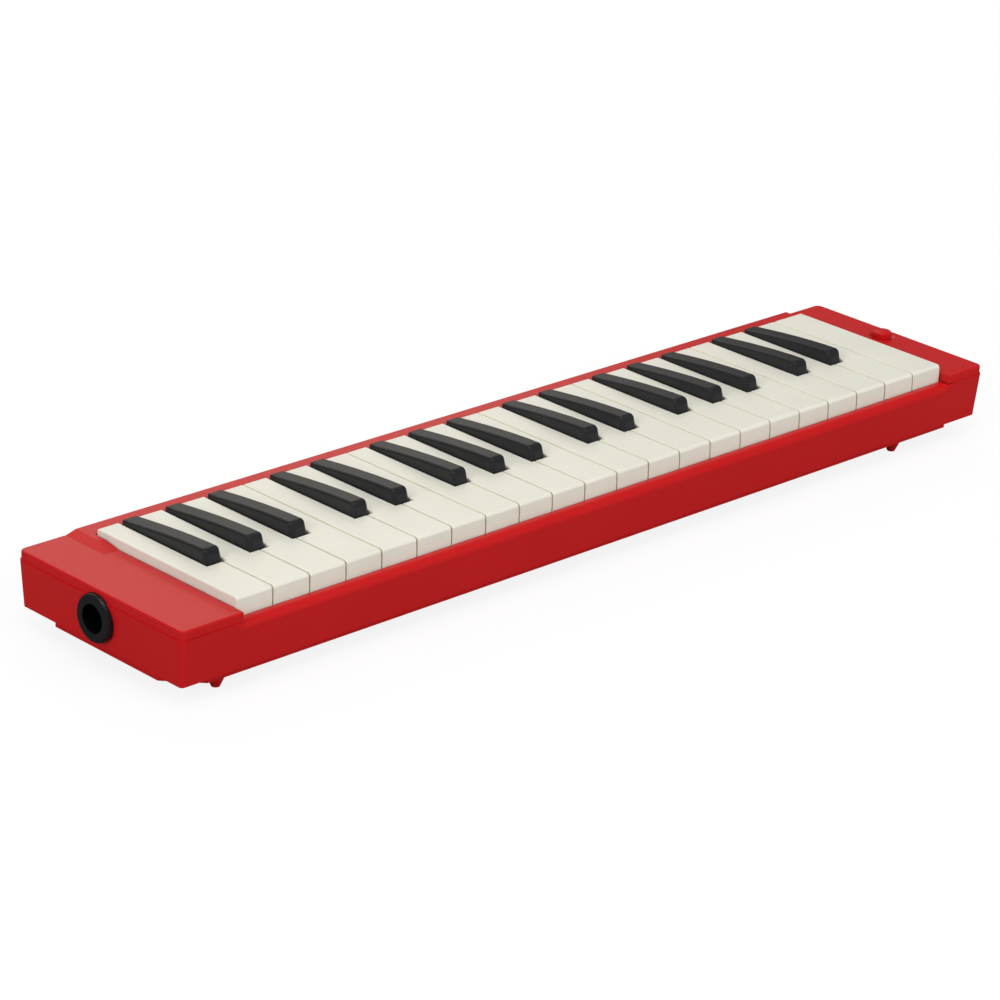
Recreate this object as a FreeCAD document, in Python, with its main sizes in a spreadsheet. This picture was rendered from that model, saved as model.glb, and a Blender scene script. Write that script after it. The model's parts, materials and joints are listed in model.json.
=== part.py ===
import FreeCAD, Part

import math
import os
import re

import Sketcher

# A 37-key melodica: a wind instrument whose keys lift padded tails off a chest of free reeds.
#
# Frame: millimetres, +X from the low notes to the high notes, +Y from the player to the back
# rail, +Z up. The origin is the middle of the whole footprint, mouth ring included, on the
# surface that the four feet stand on. Heights are measured from that surface.

SIZES = {
    # case
    "case_depth": 104.4,
    "corner_radius": 3.5,
    "case_wall": 2.5,
    "skirt_height": 8.9,
    "rail_rise": 8.5,
    "rail_step": 1.6,
    "band_height": 4.1,
    "wall_draft": 4.8,
    "band_inset": 0.5,
    "top_round": 0.8,
    "lip_thickness": 2.5,
    "cavity_radius": 2.2,
    "cheek_thickness": 2.0,
    "cheek_depth": 8.0,
    "shoulder_reach": 15.0,
    "shoulder_slope": 9.5,
    "shoulder_width": 3.0,
    "shoulder_ramp": 5.3,
    "rail_end_ramp": 2.6,
    # keyboard
    "left_block": 32.4,
    "right_block": 25.3,
    "front_margin": 6.0,
    "key_pitch": 19.6,
    "key_gap": 0.7,
    "rail_depth": 11.4,
    "key_rise": 11.0,
    "key_plate": 2.0,
    "key_wall": 1.6,
    "key_side_depth": 10.0,
    "key_front_depth": 13.0,
    "key_front_round": 1.6,
    "bed_clearance": 0.7,
    "black_front": 31.7,
    "black_width": 9.2,
    "black_top_width": 7.8,
    "black_front_rise": 5.4,
    "black_back_rise": 1.0,
    "black_nose": 1.6,
    "black_notch": 0.6,
    "nose_gap": 1.0,
    # key action
    "pivot_inset": 15.0,
    "pivot_height": 27.0,
    "rod_radius": 1.5,
    "rod_clearance": 0.05,
    "lever_width": 8.0,
    "lever_length": 21.5,
    "lever_thickness": 3.0,
    "boss_radius": 2.7,
    "deck_drop": 3.8,
    "pad_thickness": 3.0,
    "pad_lap": 2.0,
    "pad_width": 7.4,
    "pad_inset": 1.5,
    "rib_thickness": 2.2,
    "rib_length": 6.4,
    "rib_rise": 3.2,
    "rib_room": 5.5,
    "rib_headroom": 1.0,
    "hollow_width": 5.0,
    "hollow_gap": 12.0,
    "spring_thickness": 0.4,
    "spring_width": 4.0,
    "spring_foot": 6.0,
    "strip_width": 5.0,
    "spring_reach": 20.0,
    "spring_tip_gap": 7.8,
    "spring_gap": 0.65,
    "felt_thickness": 2.0,
    "deck_felt_width": 6.0,
    "key_dip_room": 4.7,
    "guide_clearance": 0.35,
    "guide_depth": 5.0,
    "guide_drop": 7.5,
    "frame_setback": 3.6,
    "frame_depth": 15.4,
    "frame_wall": 2.0,
    # wind chest
    "deck_thickness": 5.0,
    "cell_depth": 3.0,
    "cell_width": 7.4,
    "cell_margin": 2.0,
    "cell_back_margin": 1.0,
    "valve_width": 5.0,
    "valve_length": 7.0,
    "valve_inset": 4.0,
    "chest_reach": 30.0,
    "chest_back_gap": 5.4,
    "chest_wall": 4.0,
    "chest_end_wall": 2.2,
    "chest_floor": 13.3,
    "chest_bed_gap": 3.0,
    "chest_screw_inset": 12.0,
    "plate_screw_inset": 3.0,
    "end_box_depth": 24.0,
    "end_box_length": 18.4,
    "end_box_gap": 0.4,
    "drain_box_depth": 20.0,
    "drain_box_gap": 5.8,
    "drain_box_wall": 1.0,
    "gasket_thickness": 0.6,
    "chest_cover_thickness": 2.0,
    # reeds
    "plate_thickness": 1.2,
    "reed_thickness": 0.25,
    "reed_low_length": 31.0,
    "reed_high_length": 15.0,
    "reed_width": 3.0,
    "reed_root": 5.0,
    "reed_clearance": 0.1,
    "slot_inset": 7.0,
    "rivet_radius": 0.7,
    "rivet_head": 1.2,
    "rivet_head_height": 0.5,
    # mouth socket
    "ring_proud": 2.0,
    "ring_radius": 10.4,
    "ring_seat": 1.6,
    "ring_chamfer": 0.8,
    "seat_clearance": 0.1,
    "mouth_bore": 6.2,
    "socket_radius": 8.0,
    "mouth_inset": 51.3,
    "mouth_height": 21.6,
    "oring_section": 0.55,
    # drain
    "drain_inset": 9.3,
    "drain_back_inset": 49.1,
    "drain_dish": 6.2,
    "drain_dish_depth": 1.2,
    "button_radius": 4.3,
    "button_proud": 3.0,
    "button_depth": 6.5,
    "button_round": 1.0,
    "button_clearance": 0.2,
    "stem_radius": 1.5,
    "stem_clearance": 0.08,
    "seal_radius": 3.4,
    "seal_room": 0.4,
    "seal_thickness": 1.2,
    "drain_hole": 2.3,
    "drain_outlet": 2.8,
    "rivet_end_radius": 2.2,
    "rivet_end_height": 0.8,
    "coil_radius": 2.8,
    "coil_pitch": 1.8,
    "wire_radius": 0.3,
    # bottom cover
    "cover_bottom": 5.0,
    "cover_floor": 2.5,
    "cover_front_inset": 5.7,
    "cover_end_inset": 4.6,
    "cover_corner": 14.0,
    "cover_wall": 2.4,
    "rib_inset": 10.0,
    "flange_radius": 1.2,
    "flange_thickness": 1.6,
    "flange_clearance": 0.25,
    "foot_top_radius": 4.0,
    "foot_radius": 1.8,
    "foot_left_inset": 26.4,
    "foot_right_inset": 51.0,
    "foot_setback": 10.1,
    # fasteners
    "case_screw": 1.4,
    "case_screw_head": 2.8,
    "small_screw": 1.0,
    "small_head": 1.9,
    "head_height": 1.2,
    "head_recess": 1.4,
    "screw_clearance": 0.05,
    "post_radius": 4.0,
    "post_inset": 16.0,
    "post_hole": 7.5,
    "case_screw_length": 8.0,
    "small_screw_length": 4.4,
}

# Heights that follow from the pivot's, so that the case and the keys stay fitted to the action.
HEIGHTS = {
    "key_top": "(pivot_height + key_rise)",
    "guide_top": "(key_top - guide_drop)",
    "rib_top": "(pivot_height + rib_rise)",
    "rail_height": "(pivot_height + rail_rise)",
    "plateau_height": "(rail_height - rail_step)",
    "ledge_height": "(plateau_height - band_height)",
    "end_box_top": "(plateau_height - case_wall - end_box_gap)",
}

# Seven white keys and five black ones to the octave, from F. Each black key stands over the
# joint of two white ones, and every lever lies on an even semitone grid.
WHITE_STEPS = {"f": 0, "g": 2, "a": 4, "b": 6, "c": 7, "d": 9, "e": 11}
BLACK_STEPS = {"fs": 1, "gs": 3, "as": 5, "cs": 8, "ds": 10}
SEMITONES = 37
WHITE_KEYS = 22
OCTAVE = 12
OCTAVE_WHITES = 7
FIRST_OCTAVE = 3
LOW_REEDS = 19

# How near an edge must lie to the place that it is looked for at.
MATCH = 0.01

# How far a cutting block reaches past the face that it opens.
PAST = 1

# A black key's top rises towards its nose along a curve that flattens, drawn in short straight runs.
CROWN_STEPS = 6
CROWN_POWER = 1.6

doc = FreeCAD.newDocument("melodica")
sheet = doc.addObject("Spreadsheet::Sheet", "Sizes")
for row, (alias, value) in enumerate(SIZES.items(), start=1):
    sheet.set(f"A{row}", alias.replace("_", " "))
    sheet.set(f"B{row}", str(value))
    sheet.setAlias(f"B{row}", alias)
doc.recompute()


def formula(text):
    """Point every size name in a formula at the sheet, and spell out the heights that follow from sizes."""
    def spell(word):
        name = word.group()
        if name in HEIGHTS:
            return formula(HEIGHTS[name])
        return "Sizes." + name if name in SIZES else name
    return re.sub(r"[a-z][a-z_]*[a-z]", spell, str(text))


def value(text):
    """Work out a formula from the sheet's present values."""
    return float(sheet.evalExpression(formula(text)))


def bind(thing, **formulas):
    """Tie properties of an object to formulas of the sheet's sizes."""
    for name, text in formulas.items():
        thing.setExpression(name, formula(text))
    return thing


def place(thing, x="0", y="0", z="0", turn=None):
    """Put an object at a point given by formulas, turned first where turn is given."""
    if turn is not None:
        thing.Placement = FreeCAD.Placement(FreeCAD.Vector(), turn)
    for axis, text in zip("xyz", (x, y, z)):
        thing.setExpression(f"Placement.Base.{axis}", formula(text))
    return thing


# Places that several pieces share, as formulas of the sizes.
CASE_LENGTH = f"(left_block + {WHITE_KEYS} * key_pitch + right_block)"
CASE_LEFT = f"(ring_proud - {CASE_LENGTH}) / 2"
CASE_RIGHT = f"(ring_proud + {CASE_LENGTH}) / 2"
CASE_FRONT = "(0 - case_depth / 2)"
CASE_BACK = "(case_depth / 2)"
BED_LEFT = f"({CASE_LEFT} + left_block)"
BED_RIGHT = f"({BED_LEFT} + {WHITE_KEYS} * key_pitch)"
KEY_FRONT = f"({CASE_FRONT} + front_margin)"
KEY_BACK = f"({CASE_BACK} - rail_depth)"
PIVOT_Y = f"({KEY_BACK} - pivot_inset)"
SEMITONE = f"({OCTAVE_WHITES} * key_pitch / {OCTAVE})"
FIRST_LEVER = f"({BED_LEFT} + 2 * key_pitch - 3 * {SEMITONE})"
DECK_TOP = "(pivot_height - deck_drop)"
LEVER_BOTTOM = f"({DECK_TOP} + pad_thickness)"
PAD_BACK = f"({PIVOT_Y} + lever_length - pad_inset)"
VALVE_BACK = f"({PAD_BACK} - valve_inset)"
VALVE_FRONT = f"({VALVE_BACK} - valve_length)"
PAD_FRONT = f"({VALVE_FRONT} - pad_lap)"
CHEST_FRONT = f"({PIVOT_Y} - chest_reach)"
CHEST_BACK = f"({CASE_BACK} - chest_back_gap)"
CHEST_LEFT = f"({BED_LEFT} - chest_bed_gap)"
CHEST_RIGHT = f"({BED_RIGHT} + chest_bed_gap)"
DECK_BOTTOM = f"({DECK_TOP} - deck_thickness)"
PLATE_BOTTOM = f"({DECK_BOTTOM} - plate_thickness)"
GASKET_BOTTOM = "(chest_floor - gasket_thickness)"
CHEST_COVER_BOTTOM = f"({GASKET_BOTTOM} - chest_cover_thickness)"
COVER_INSIDE = "(cover_bottom + cover_floor)"
MOUTH_Y = f"({CASE_BACK} - mouth_inset)"
DRAIN_X = f"({CASE_RIGHT} - drain_inset)"
DRAIN_Y = f"({CASE_BACK} - drain_back_inset)"

ALONG_X = FreeCAD.Rotation(FreeCAD.Vector(0, 1, 0), 90)


def lever_x(step):
    """Middle of the lever of a semitone, counted from the lowest note."""
    return f"({FIRST_LEVER} + {step} * {SEMITONE})"


def box(name, low, high):
    """A block between two corners, each given as three formulas."""
    block = doc.addObject("Part::Box", name)
    spans = [f"({top}) - ({bottom})" for bottom, top in zip(low, high)]
    bind(block, Length=spans[0], Width=spans[1], Height=spans[2])
    return place(block, *low)


def cylinder(name, radius, length, at, turn=None):
    """A round bar that starts at a point, along +Z unless turned."""
    bar = doc.addObject("Part::Cylinder", name)
    bind(bar, Radius=radius, Height=length)
    return place(bar, *at, turn=turn)


def cone(name, start_radius, end_radius, length, at, turn=None):
    """A tapered bar that starts at a point, along +Z unless turned."""
    bar = doc.addObject("Part::Cone", name)
    bind(bar, Radius1=start_radius, Radius2=end_radius, Height=length)
    return place(bar, *at, turn=turn)


def join(name, pieces):
    """One solid from pieces that overlap or meet."""
    whole = doc.addObject("Part::MultiFuse", name)
    whole.Shapes = pieces
    whole.Refine = True
    return whole


def cut(name, base, tools):
    """The base with the tools taken out of it."""
    tool = tools[0] if len(tools) == 1 else join(name + "_tools", tools)
    rest = doc.addObject("Part::Cut", name)
    rest.Base = base
    rest.Tool = tool
    return rest


def group(name, pieces):
    """Separate solids that belong to one sub-part."""
    together = doc.addObject("Part::Compound", name)
    together.Links = pieces
    return together


def origin_plane(body, role):
    """One of a body's own three origin planes."""
    return next(part for part in body.Origin.OriginFeatures if part.Role == role)


def sketch_on(body, name, role, offset="0"):
    """A sketch on a body's origin plane, lifted off it by a formula."""
    sketch = body.newObject("Sketcher::SketchObject", name)
    sketch.AttachmentSupport = (origin_plane(body, role), [""])
    sketch.MapMode = "FlatFace"
    sketch.setExpression("AttachmentOffset.Base.z", formula(offset))
    return sketch


def outline(sketch, corners):
    """A closed outline of straight sides, with every corner tied to formulas."""
    points = [FreeCAD.Vector(value(x), value(y), 0) for x, y in corners]
    for number, start in enumerate(points):
        sketch.addGeometry(Part.LineSegment(start, points[(number + 1) % len(points)]), False)
    for number in range(len(points)):
        sketch.addConstraint(Sketcher.Constraint("Coincident", number, 2, (number + 1) % len(points), 1))
    for number, (x, y) in enumerate(corners):
        for kind, text, size in (("DistanceX", x, points[number].x), ("DistanceY", y, points[number].y)):
            tie = sketch.addConstraint(Sketcher.Constraint(kind, -1, 1, number, 1, size))
            sketch.setExpression(f"Constraints[{tie}]", formula(text))
    return sketch


def rounded_rectangle(sketch, length, depth, radius):
    """A rectangle with round corners, centred on the sketch's origin."""
    half_length = value(length) / 2
    half_depth = value(depth) / 2
    bend = value(radius)
    inner_x = half_length - bend
    inner_y = half_depth - bend
    ends = [(-inner_x, -half_depth, inner_x, -half_depth), (half_length, -inner_y, half_length, inner_y),
            (inner_x, half_depth, -inner_x, half_depth), (-half_length, inner_y, -half_length, -inner_y)]
    for start_x, start_y, end_x, end_y in ends:
        start = FreeCAD.Vector(start_x, start_y, 0)
        sketch.addGeometry(Part.LineSegment(start, FreeCAD.Vector(end_x, end_y, 0)), False)
    centres = [(inner_x, -inner_y), (inner_x, inner_y), (-inner_x, inner_y), (-inner_x, -inner_y)]
    quarter = math.pi / 2
    for number, (x, y) in enumerate(centres):
        circle = Part.Circle(FreeCAD.Vector(x, y, 0), FreeCAD.Vector(0, 0, 1), bend)
        sketch.addGeometry(Part.ArcOfCircle(circle, (number - 1) * quarter, number * quarter), False)
    for number in range(4):
        sketch.addConstraint(Sketcher.Constraint("Tangent", number, 2, number + 4, 1))
        sketch.addConstraint(Sketcher.Constraint("Tangent", number + 4, 2, (number + 1) % 4, 1))
        sketch.addConstraint(Sketcher.Constraint("Vertical" if number % 2 else "Horizontal", number))
    for number in (5, 6, 7):
        sketch.addConstraint(Sketcher.Constraint("Equal", 4, number))
    sketch.addConstraint(Sketcher.Constraint("Symmetric", 4, 3, 6, 3, -1, 1))
    ties = [(Sketcher.Constraint("Radius", 4, bend), radius),
            (Sketcher.Constraint("DistanceX", 3, 1, 1, 1, 2 * half_length), length),
            (Sketcher.Constraint("DistanceY", 0, 1, 2, 1, 2 * half_depth), depth)]
    for constraint, text in ties:
        number = sketch.addConstraint(constraint)
        sketch.setExpression(f"Constraints[{number}]", formula(text))
    return sketch


def pad(body, sketch, length, taper=None, down=False):
    """Material from a sketch, upwards or downwards."""
    feature = body.newObject("PartDesign::Pad", sketch.Name + "_pad")
    feature.Profile = sketch
    feature.Reversed = down
    bind(feature, Length=length)
    if taper is not None:
        bind(feature, TaperAngle=taper)
    return feature


def pocket(body, sketch, length, taper=None, up=False):
    """Material taken away below a sketch, or above it."""
    feature = body.newObject("PartDesign::Pocket", sketch.Name + "_pocket")
    feature.Profile = sketch
    feature.Reversed = up
    bind(feature, Length=length)
    if taper is not None:
        bind(feature, TaperAngle=taper)
    return feature


def revolved(body, corners, role="XZ_Plane"):
    """A turned piece: a half section in X and Z, spun about the body's Z axis."""
    sketch = outline(sketch_on(body, body.Name + "_section", role), corners)
    feature = body.newObject("PartDesign::Revolution", body.Name + "_turned")
    feature.Profile = sketch
    feature.ReferenceAxis = (sketch, ["V_Axis"])
    feature.Angle = 360
    return feature


def screws(name, points, radius, head, length, top, upside_down=False):
    """Round-head screws, all alike, at points of the plan. The head's seat is at top."""
    pieces = []
    for number, (x, y) in enumerate(points):
        start = f"{top} - head_height" if upside_down else top
        seat = f"{top} - {length}" if not upside_down else top
        shank = cylinder(f"{name}_shank_{number}", radius, length, (x, y, seat))
        cap = cylinder(f"{name}_cap_{number}", head, "head_height", (x, y, start))
        pieces.append(join(f"{name}_{number}", [shank, cap]))
    return group(name, pieces)


# ---------------------------------------------------------------- upper case

ROOF_INSIDE = "(plateau_height - case_wall)"
BED_SIDE = "(bed_clearance - key_gap / 2)"
OPENING_LEFT = f"({BED_LEFT} - {BED_SIDE})"
OPENING_RIGHT = f"({BED_RIGHT} + {BED_SIDE})"
OPENING_FRONT = f"({KEY_FRONT} - bed_clearance)"
OPENING_BACK = f"({KEY_BACK} + bed_clearance)"
RAIL_BACK = f"({CASE_BACK} - band_inset - top_round)"
FLANGE_TOP = "(skirt_height + flange_thickness)"
SKIRT_DRAW = "((ledge_height - skirt_height) * tan(wall_draft))"
POSTS = [(f"{CASE_LEFT} + post_inset", f"{CASE_FRONT} + post_inset"),
         (f"{CASE_LEFT} + post_inset", f"{CASE_BACK} - post_inset"),
         (f"{CASE_RIGHT} - post_inset", f"{CASE_FRONT} + post_inset"),
         (f"{CASE_RIGHT} - post_inset", f"{CASE_BACK} - post_inset")]


def ramp_block(name, base, top, low, high):
    """A block with sloping sides: base and top are each left, right, front and back."""
    block = doc.addObject("Part::Wedge", name)
    bind(block, Xmin=base[0], Xmax=base[1], Zmin=f"0 - ({base[3]})", Zmax=f"0 - ({base[2]})",
         X2min=top[0], X2max=top[1], Z2min=f"0 - ({top[3]})", Z2max=f"0 - ({top[2]})", Ymin=low, Ymax=high)
    block.Placement = FreeCAD.Placement(FreeCAD.Vector(), FreeCAD.Rotation(FreeCAD.Vector(1, 0, 0), 90))
    return block


def case_shell():
    """The moulded shell: drafted walls under a ledge, and a band above it."""
    body = doc.addObject("PartDesign::Body", "case_shell")
    walls = rounded_rectangle(sketch_on(body, "ledge_outline", "XY_Plane", "ledge_height"),
                              CASE_LENGTH, "case_depth", "corner_radius")
    pad(body, walls, "ledge_height - skirt_height", taper="0 - wall_draft", down=True)
    band = rounded_rectangle(sketch_on(body, "band_outline", "XY_Plane", "ledge_height"),
                             f"{CASE_LENGTH} - 2 * band_inset", "case_depth - 2 * band_inset",
                             "corner_radius - band_inset")
    top = pad(body, band, "plateau_height - ledge_height")
    doc.recompute()
    rim = [f"Edge{number}" for number, edge in enumerate(top.Shape.Edges, start=1)
           if edge.BoundBox.ZMin > value("plateau_height") - MATCH]
    round_over = body.newObject("PartDesign::Fillet", "case_top_round")
    round_over.Base = (top, rim)
    bind(round_over, Radius="top_round")
    hollow = rounded_rectangle(sketch_on(body, "cavity_outline", "XY_Plane", ROOF_INSIDE),
                               f"{CASE_LENGTH} - 2 * (case_wall + band_inset)",
                               "case_depth - 2 * (case_wall + band_inset)", "cavity_radius")
    pocket(body, hollow, f"{ROOF_INSIDE} - skirt_height", taper="0 - wall_draft")
    place(body, x="ring_proud / 2")
    return body


def upper_case():
    """The red case: shell, key bed opening, rail, shoulder, cheeks and screw posts."""
    rail = ramp_block("rail",
                      (f"{BED_LEFT} - shoulder_width - shoulder_ramp", f"{OPENING_RIGHT} + rail_end_ramp",
                       OPENING_BACK, RAIL_BACK),
                      (f"{BED_LEFT} - shoulder_width", OPENING_RIGHT, OPENING_BACK, RAIL_BACK),
                      "plateau_height", "rail_height")
    shoulder = ramp_block("shoulder",
                          (f"{BED_LEFT} - shoulder_width - shoulder_ramp", OPENING_LEFT,
                           f"{KEY_BACK} - shoulder_reach", OPENING_BACK),
                          (f"{BED_LEFT} - shoulder_width", OPENING_LEFT,
                           f"{KEY_BACK} - shoulder_reach + shoulder_slope", OPENING_BACK),
                          "plateau_height", "rail_height")
    bed = box("bed_opening", (OPENING_LEFT, OPENING_FRONT, "0"), (OPENING_RIGHT, OPENING_BACK, "2 * key_top"))
    front_step = box("front_step", (OPENING_LEFT, f"{CASE_FRONT} - case_wall", "ledge_height"),
                     (OPENING_RIGHT, OPENING_BACK, "2 * key_top"))
    opened = cut("opened_shell", case_shell(), [bed, front_step])
    lip = box("front_lip", (f"{OPENING_LEFT} - case_wall", f"{CASE_FRONT} + case_wall / 2",
                            "ledge_height - lip_thickness"),
              (f"{OPENING_RIGHT} + case_wall", OPENING_FRONT, "ledge_height"))
    cheeks = []
    for side, low, high in (("low", f"{OPENING_LEFT} - cheek_thickness", OPENING_LEFT),
                            ("high", OPENING_RIGHT, f"{OPENING_RIGHT} + cheek_thickness")):
        cheeks.append(box(f"cheek_{side}",
                          (low, f"{CASE_FRONT} + case_wall / 2", "plateau_height - cheek_depth"),
                          (high, f"{PIVOT_Y} - rib_room", f"{ROOF_INSIDE} + case_wall / 2")))
    posts = [cylinder(f"post_{number}", "post_radius", f"{ROOF_INSIDE} - {FLANGE_TOP} + case_wall / 2",
                      (x, y, FLANGE_TOP)) for number, (x, y) in enumerate(POSTS)]
    solid = join("case_solid", [opened, rail, shoulder, lip] + cheeks + posts)
    holes = [cylinder(f"post_hole_{number}", "case_screw + screw_clearance", "post_hole + flange_thickness",
                      (x, y, "skirt_height")) for number, (x, y) in enumerate(POSTS)]
    holes.append(cylinder("mouth_hole", "socket_radius + seat_clearance", "3 * case_wall + ring_proud",
                          (f"{CASE_LEFT} - ring_proud", MOUTH_Y, "mouth_height"), ALONG_X))
    holes.append(cylinder("ring_recess", "ring_radius + seat_clearance", "ring_proud + ring_seat",
                          (f"{CASE_LEFT} - ring_proud", MOUTH_Y, "mouth_height"), ALONG_X))
    holes.append(cylinder("button_hole", "button_radius + button_clearance", "3 * case_wall",
                          (DRAIN_X, DRAIN_Y, f"{ROOF_INSIDE} - case_wall")))
    holes.append(cone("button_dish", "button_radius + button_clearance", "drain_dish", "drain_dish_depth",
                      (DRAIN_X, DRAIN_Y, "plateau_height - drain_dish_depth")))
    return cut("upper_case", solid, holes)


# ---------------------------------------------------------------- bottom cover

FRAME_FRONT = f"({KEY_FRONT} + frame_setback)"
FRAME_BACK = f"({FRAME_FRONT} + frame_depth)"
FRAME_MIDDLE = f"({FRAME_FRONT} + frame_depth / 2)"
FRAME_SCREWS = [(f"{BED_LEFT} + {whites} * key_pitch", FRAME_MIDDLE) for whites in (2, 8, 14, 20)]
COVER_SCREWS = POSTS + FRAME_SCREWS


def cover_outline(body, name, height, inset):
    """The cover's outline with its four corners cut off, set in from its own edge."""
    left = f"{CASE_LEFT} + cover_end_inset + {inset}"
    right = f"{CASE_RIGHT} - cover_end_inset - {inset}"
    front = f"{CASE_FRONT} + cover_front_inset + {inset}"
    back = f"{CASE_BACK} - cover_front_inset - {inset}"
    corner = "cover_corner"
    return outline(sketch_on(body, name, "XY_Plane", height),
                   [(f"{left} + {corner}", front), (f"{right} - {corner}", front),
                    (right, f"{front} + {corner}"), (right, f"{back} - {corner}"),
                    (f"{right} - {corner}", back), (f"{left} + {corner}", back),
                    (left, f"{back} - {corner}"), (left, f"{front} + {corner}")])


def bottom_cover():
    """The red bottom tray with its flange, four cone feet, screw seats, chest ribs and drain outlet."""
    flange_body = doc.addObject("PartDesign::Body", "cover_flange")
    inset = f"({SKIRT_DRAW} + case_wall + band_inset + flange_clearance)"
    flange = rounded_rectangle(sketch_on(flange_body, "flange_outline", "XY_Plane", "skirt_height"),
                               f"{CASE_LENGTH} - 2 * {inset}", f"case_depth - 2 * {inset}",
                               "flange_radius")
    pad(flange_body, flange, "flange_thickness")
    place(flange_body, x="ring_proud / 2")
    tray_body = doc.addObject("PartDesign::Body", "cover_tray")
    tray = cover_outline(tray_body, "tray_outline", "cover_bottom", "0")
    pad(tray_body, tray, "skirt_height - cover_bottom")
    hollow_body = doc.addObject("PartDesign::Body", "cover_hollow")
    pad(hollow_body, cover_outline(hollow_body, "hollow_outline", COVER_INSIDE, "cover_wall"),
        f"{FLANGE_TOP} - {COVER_INSIDE} + cover_floor")
    shell = cut("cover_shell", join("cover_block", [flange_body, tray_body]), [hollow_body])
    additions = [shell]
    for number, (x, y) in enumerate(POSTS):
        additions.append(cylinder(f"seat_{number}", "post_radius",
                                  f"{FLANGE_TOP} - {COVER_INSIDE} + cover_floor / 2",
                                  (x, y, f"{COVER_INSIDE} - cover_floor / 2")))
    for number, front in enumerate((f"{CHEST_FRONT} + rib_inset", f"{CHEST_BACK} - rib_inset")):
        additions.append(box(f"chest_rib_{number}",
                             (f"{CHEST_LEFT} + rib_inset", front, f"{COVER_INSIDE} - cover_floor / 2"),
                             (f"{CHEST_RIGHT} - rib_inset", f"{front} + cover_wall", CHEST_COVER_BOTTOM)))
    for column, x in enumerate((f"{CASE_LEFT} + foot_left_inset", f"{CASE_RIGHT} - foot_right_inset")):
        for row, y in enumerate((f"{CASE_FRONT} + foot_setback", f"{CASE_BACK} - foot_setback")):
            additions.append(cone(f"foot_{column}_{row}", "foot_radius", "foot_top_radius", "cover_bottom",
                                  (x, y, "0")))
    solid = join("cover_solid", additions)
    holes = []
    for number, (x, y) in enumerate(COVER_SCREWS):
        holes.append(cylinder(f"cover_hole_{number}", "case_screw + screw_clearance", "3 * cover_bottom",
                              (x, y, "0")))
        holes.append(cylinder(f"cover_recess_{number}", "case_screw_head + screw_clearance",
                              "cover_bottom + head_recess", (x, y, "0")))
    holes.append(cylinder("outlet", "drain_outlet", "3 * cover_bottom", (DRAIN_X, DRAIN_Y, "0")))
    holes.append(cylinder("seal_pocket", "seal_radius + seal_room", "2 * cover_bottom",
                          (DRAIN_X, DRAIN_Y, COVER_INSIDE)))
    return cut("bottom_cover", solid, holes)


# ---------------------------------------------------------------- wind chest

DRAIN_BOX_RIGHT = f"({CASE_RIGHT} - drain_box_gap)"
MOUTH_BOX_LEFT = f"({CHEST_LEFT} - end_box_length)"
CHAMBER_FRONT = f"({CHEST_FRONT} + chest_wall)"
CHAMBER_BACK = f"({CHEST_BACK} - chest_wall)"
CHAMBER_LEFT = f"({CHEST_LEFT} + chest_end_wall)"
CHAMBER_RIGHT = f"({CHEST_RIGHT} - chest_end_wall)"
CELL_BACK = f"({CHAMBER_BACK} - cell_back_margin)"
SCREW_GAPS = 6
SCREW_PITCH = f"({CHEST_RIGHT} - ({CHEST_LEFT}) - 2 * chest_screw_inset) / {SCREW_GAPS}"
CHEST_SCREWS = [(f"{CHEST_LEFT} + chest_screw_inset + {number} * {SCREW_PITCH}", y)
                for number in range(SCREW_GAPS + 1)
                for y in (f"{CHEST_FRONT} + chest_wall / 2", f"{CHEST_BACK} - chest_wall / 2")]
PLATE_SCREWS = [(f"{lever_x(step)} + {SEMITONE} / 2", y) for step in (1, 6, 11, 16, 20, 25, 30, 34)
                for y in (f"{CHAMBER_FRONT} + plate_screw_inset", f"{CHAMBER_BACK} - plate_screw_inset")]
COMB_SCREWS = [(f"{lever_x(step)} + {SEMITONE} / 2", f"{PIVOT_Y} - spring_reach + strip_width / 2")
               for step in (2, 10, 17, 25, 33)]


def chest_blocks(name, low, high):
    """The chest's plan between two heights: long chamber, mouth box and drain box."""
    return [box(f"{name}_main", (CHEST_LEFT, CHEST_FRONT, low), (CHEST_RIGHT, CHEST_BACK, high)),
            box(f"{name}_mouth", (MOUTH_BOX_LEFT, f"{MOUTH_Y} - end_box_depth / 2", low),
                (CHEST_LEFT, f"{MOUTH_Y} + end_box_depth / 2", high)),
            box(f"{name}_drain", (CHEST_RIGHT, f"{DRAIN_Y} - drain_box_depth / 2", low),
                (DRAIN_BOX_RIGHT, f"{DRAIN_Y} + drain_box_depth / 2", high))]


def chamber_blocks(name, low, high):
    """The air space's plan between two heights, linked from the long chamber to its two ends."""
    mouth_front = f"{MOUTH_Y} - end_box_depth / 2 + chest_end_wall"
    mouth_back = f"{MOUTH_Y} + end_box_depth / 2 - chest_end_wall"
    mouth_right = f"{CHEST_LEFT} - chest_end_wall"
    drain_front = f"{DRAIN_Y} - drain_box_depth / 2 + chest_end_wall"
    drain_back = f"{DRAIN_Y} + drain_box_depth / 2 - chest_end_wall"
    drain_left = f"{CHEST_RIGHT} + chest_end_wall"
    return [box(f"{name}_main", (CHAMBER_LEFT, CHAMBER_FRONT, low), (CHAMBER_RIGHT, CHAMBER_BACK, high)),
            box(f"{name}_mouth", (f"{MOUTH_BOX_LEFT} + chest_end_wall", mouth_front, low),
                (mouth_right, mouth_back, high)),
            box(f"{name}_mouth_link", (mouth_right, CHAMBER_FRONT, low), (CHAMBER_LEFT, mouth_back, high)),
            box(f"{name}_drain", (drain_left, drain_front, low),
                (f"{DRAIN_BOX_RIGHT} - drain_box_wall", drain_back, high)),
            box(f"{name}_drain_link", (CHAMBER_RIGHT, CHAMBER_FRONT, low), (drain_left, drain_back, high))]


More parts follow.
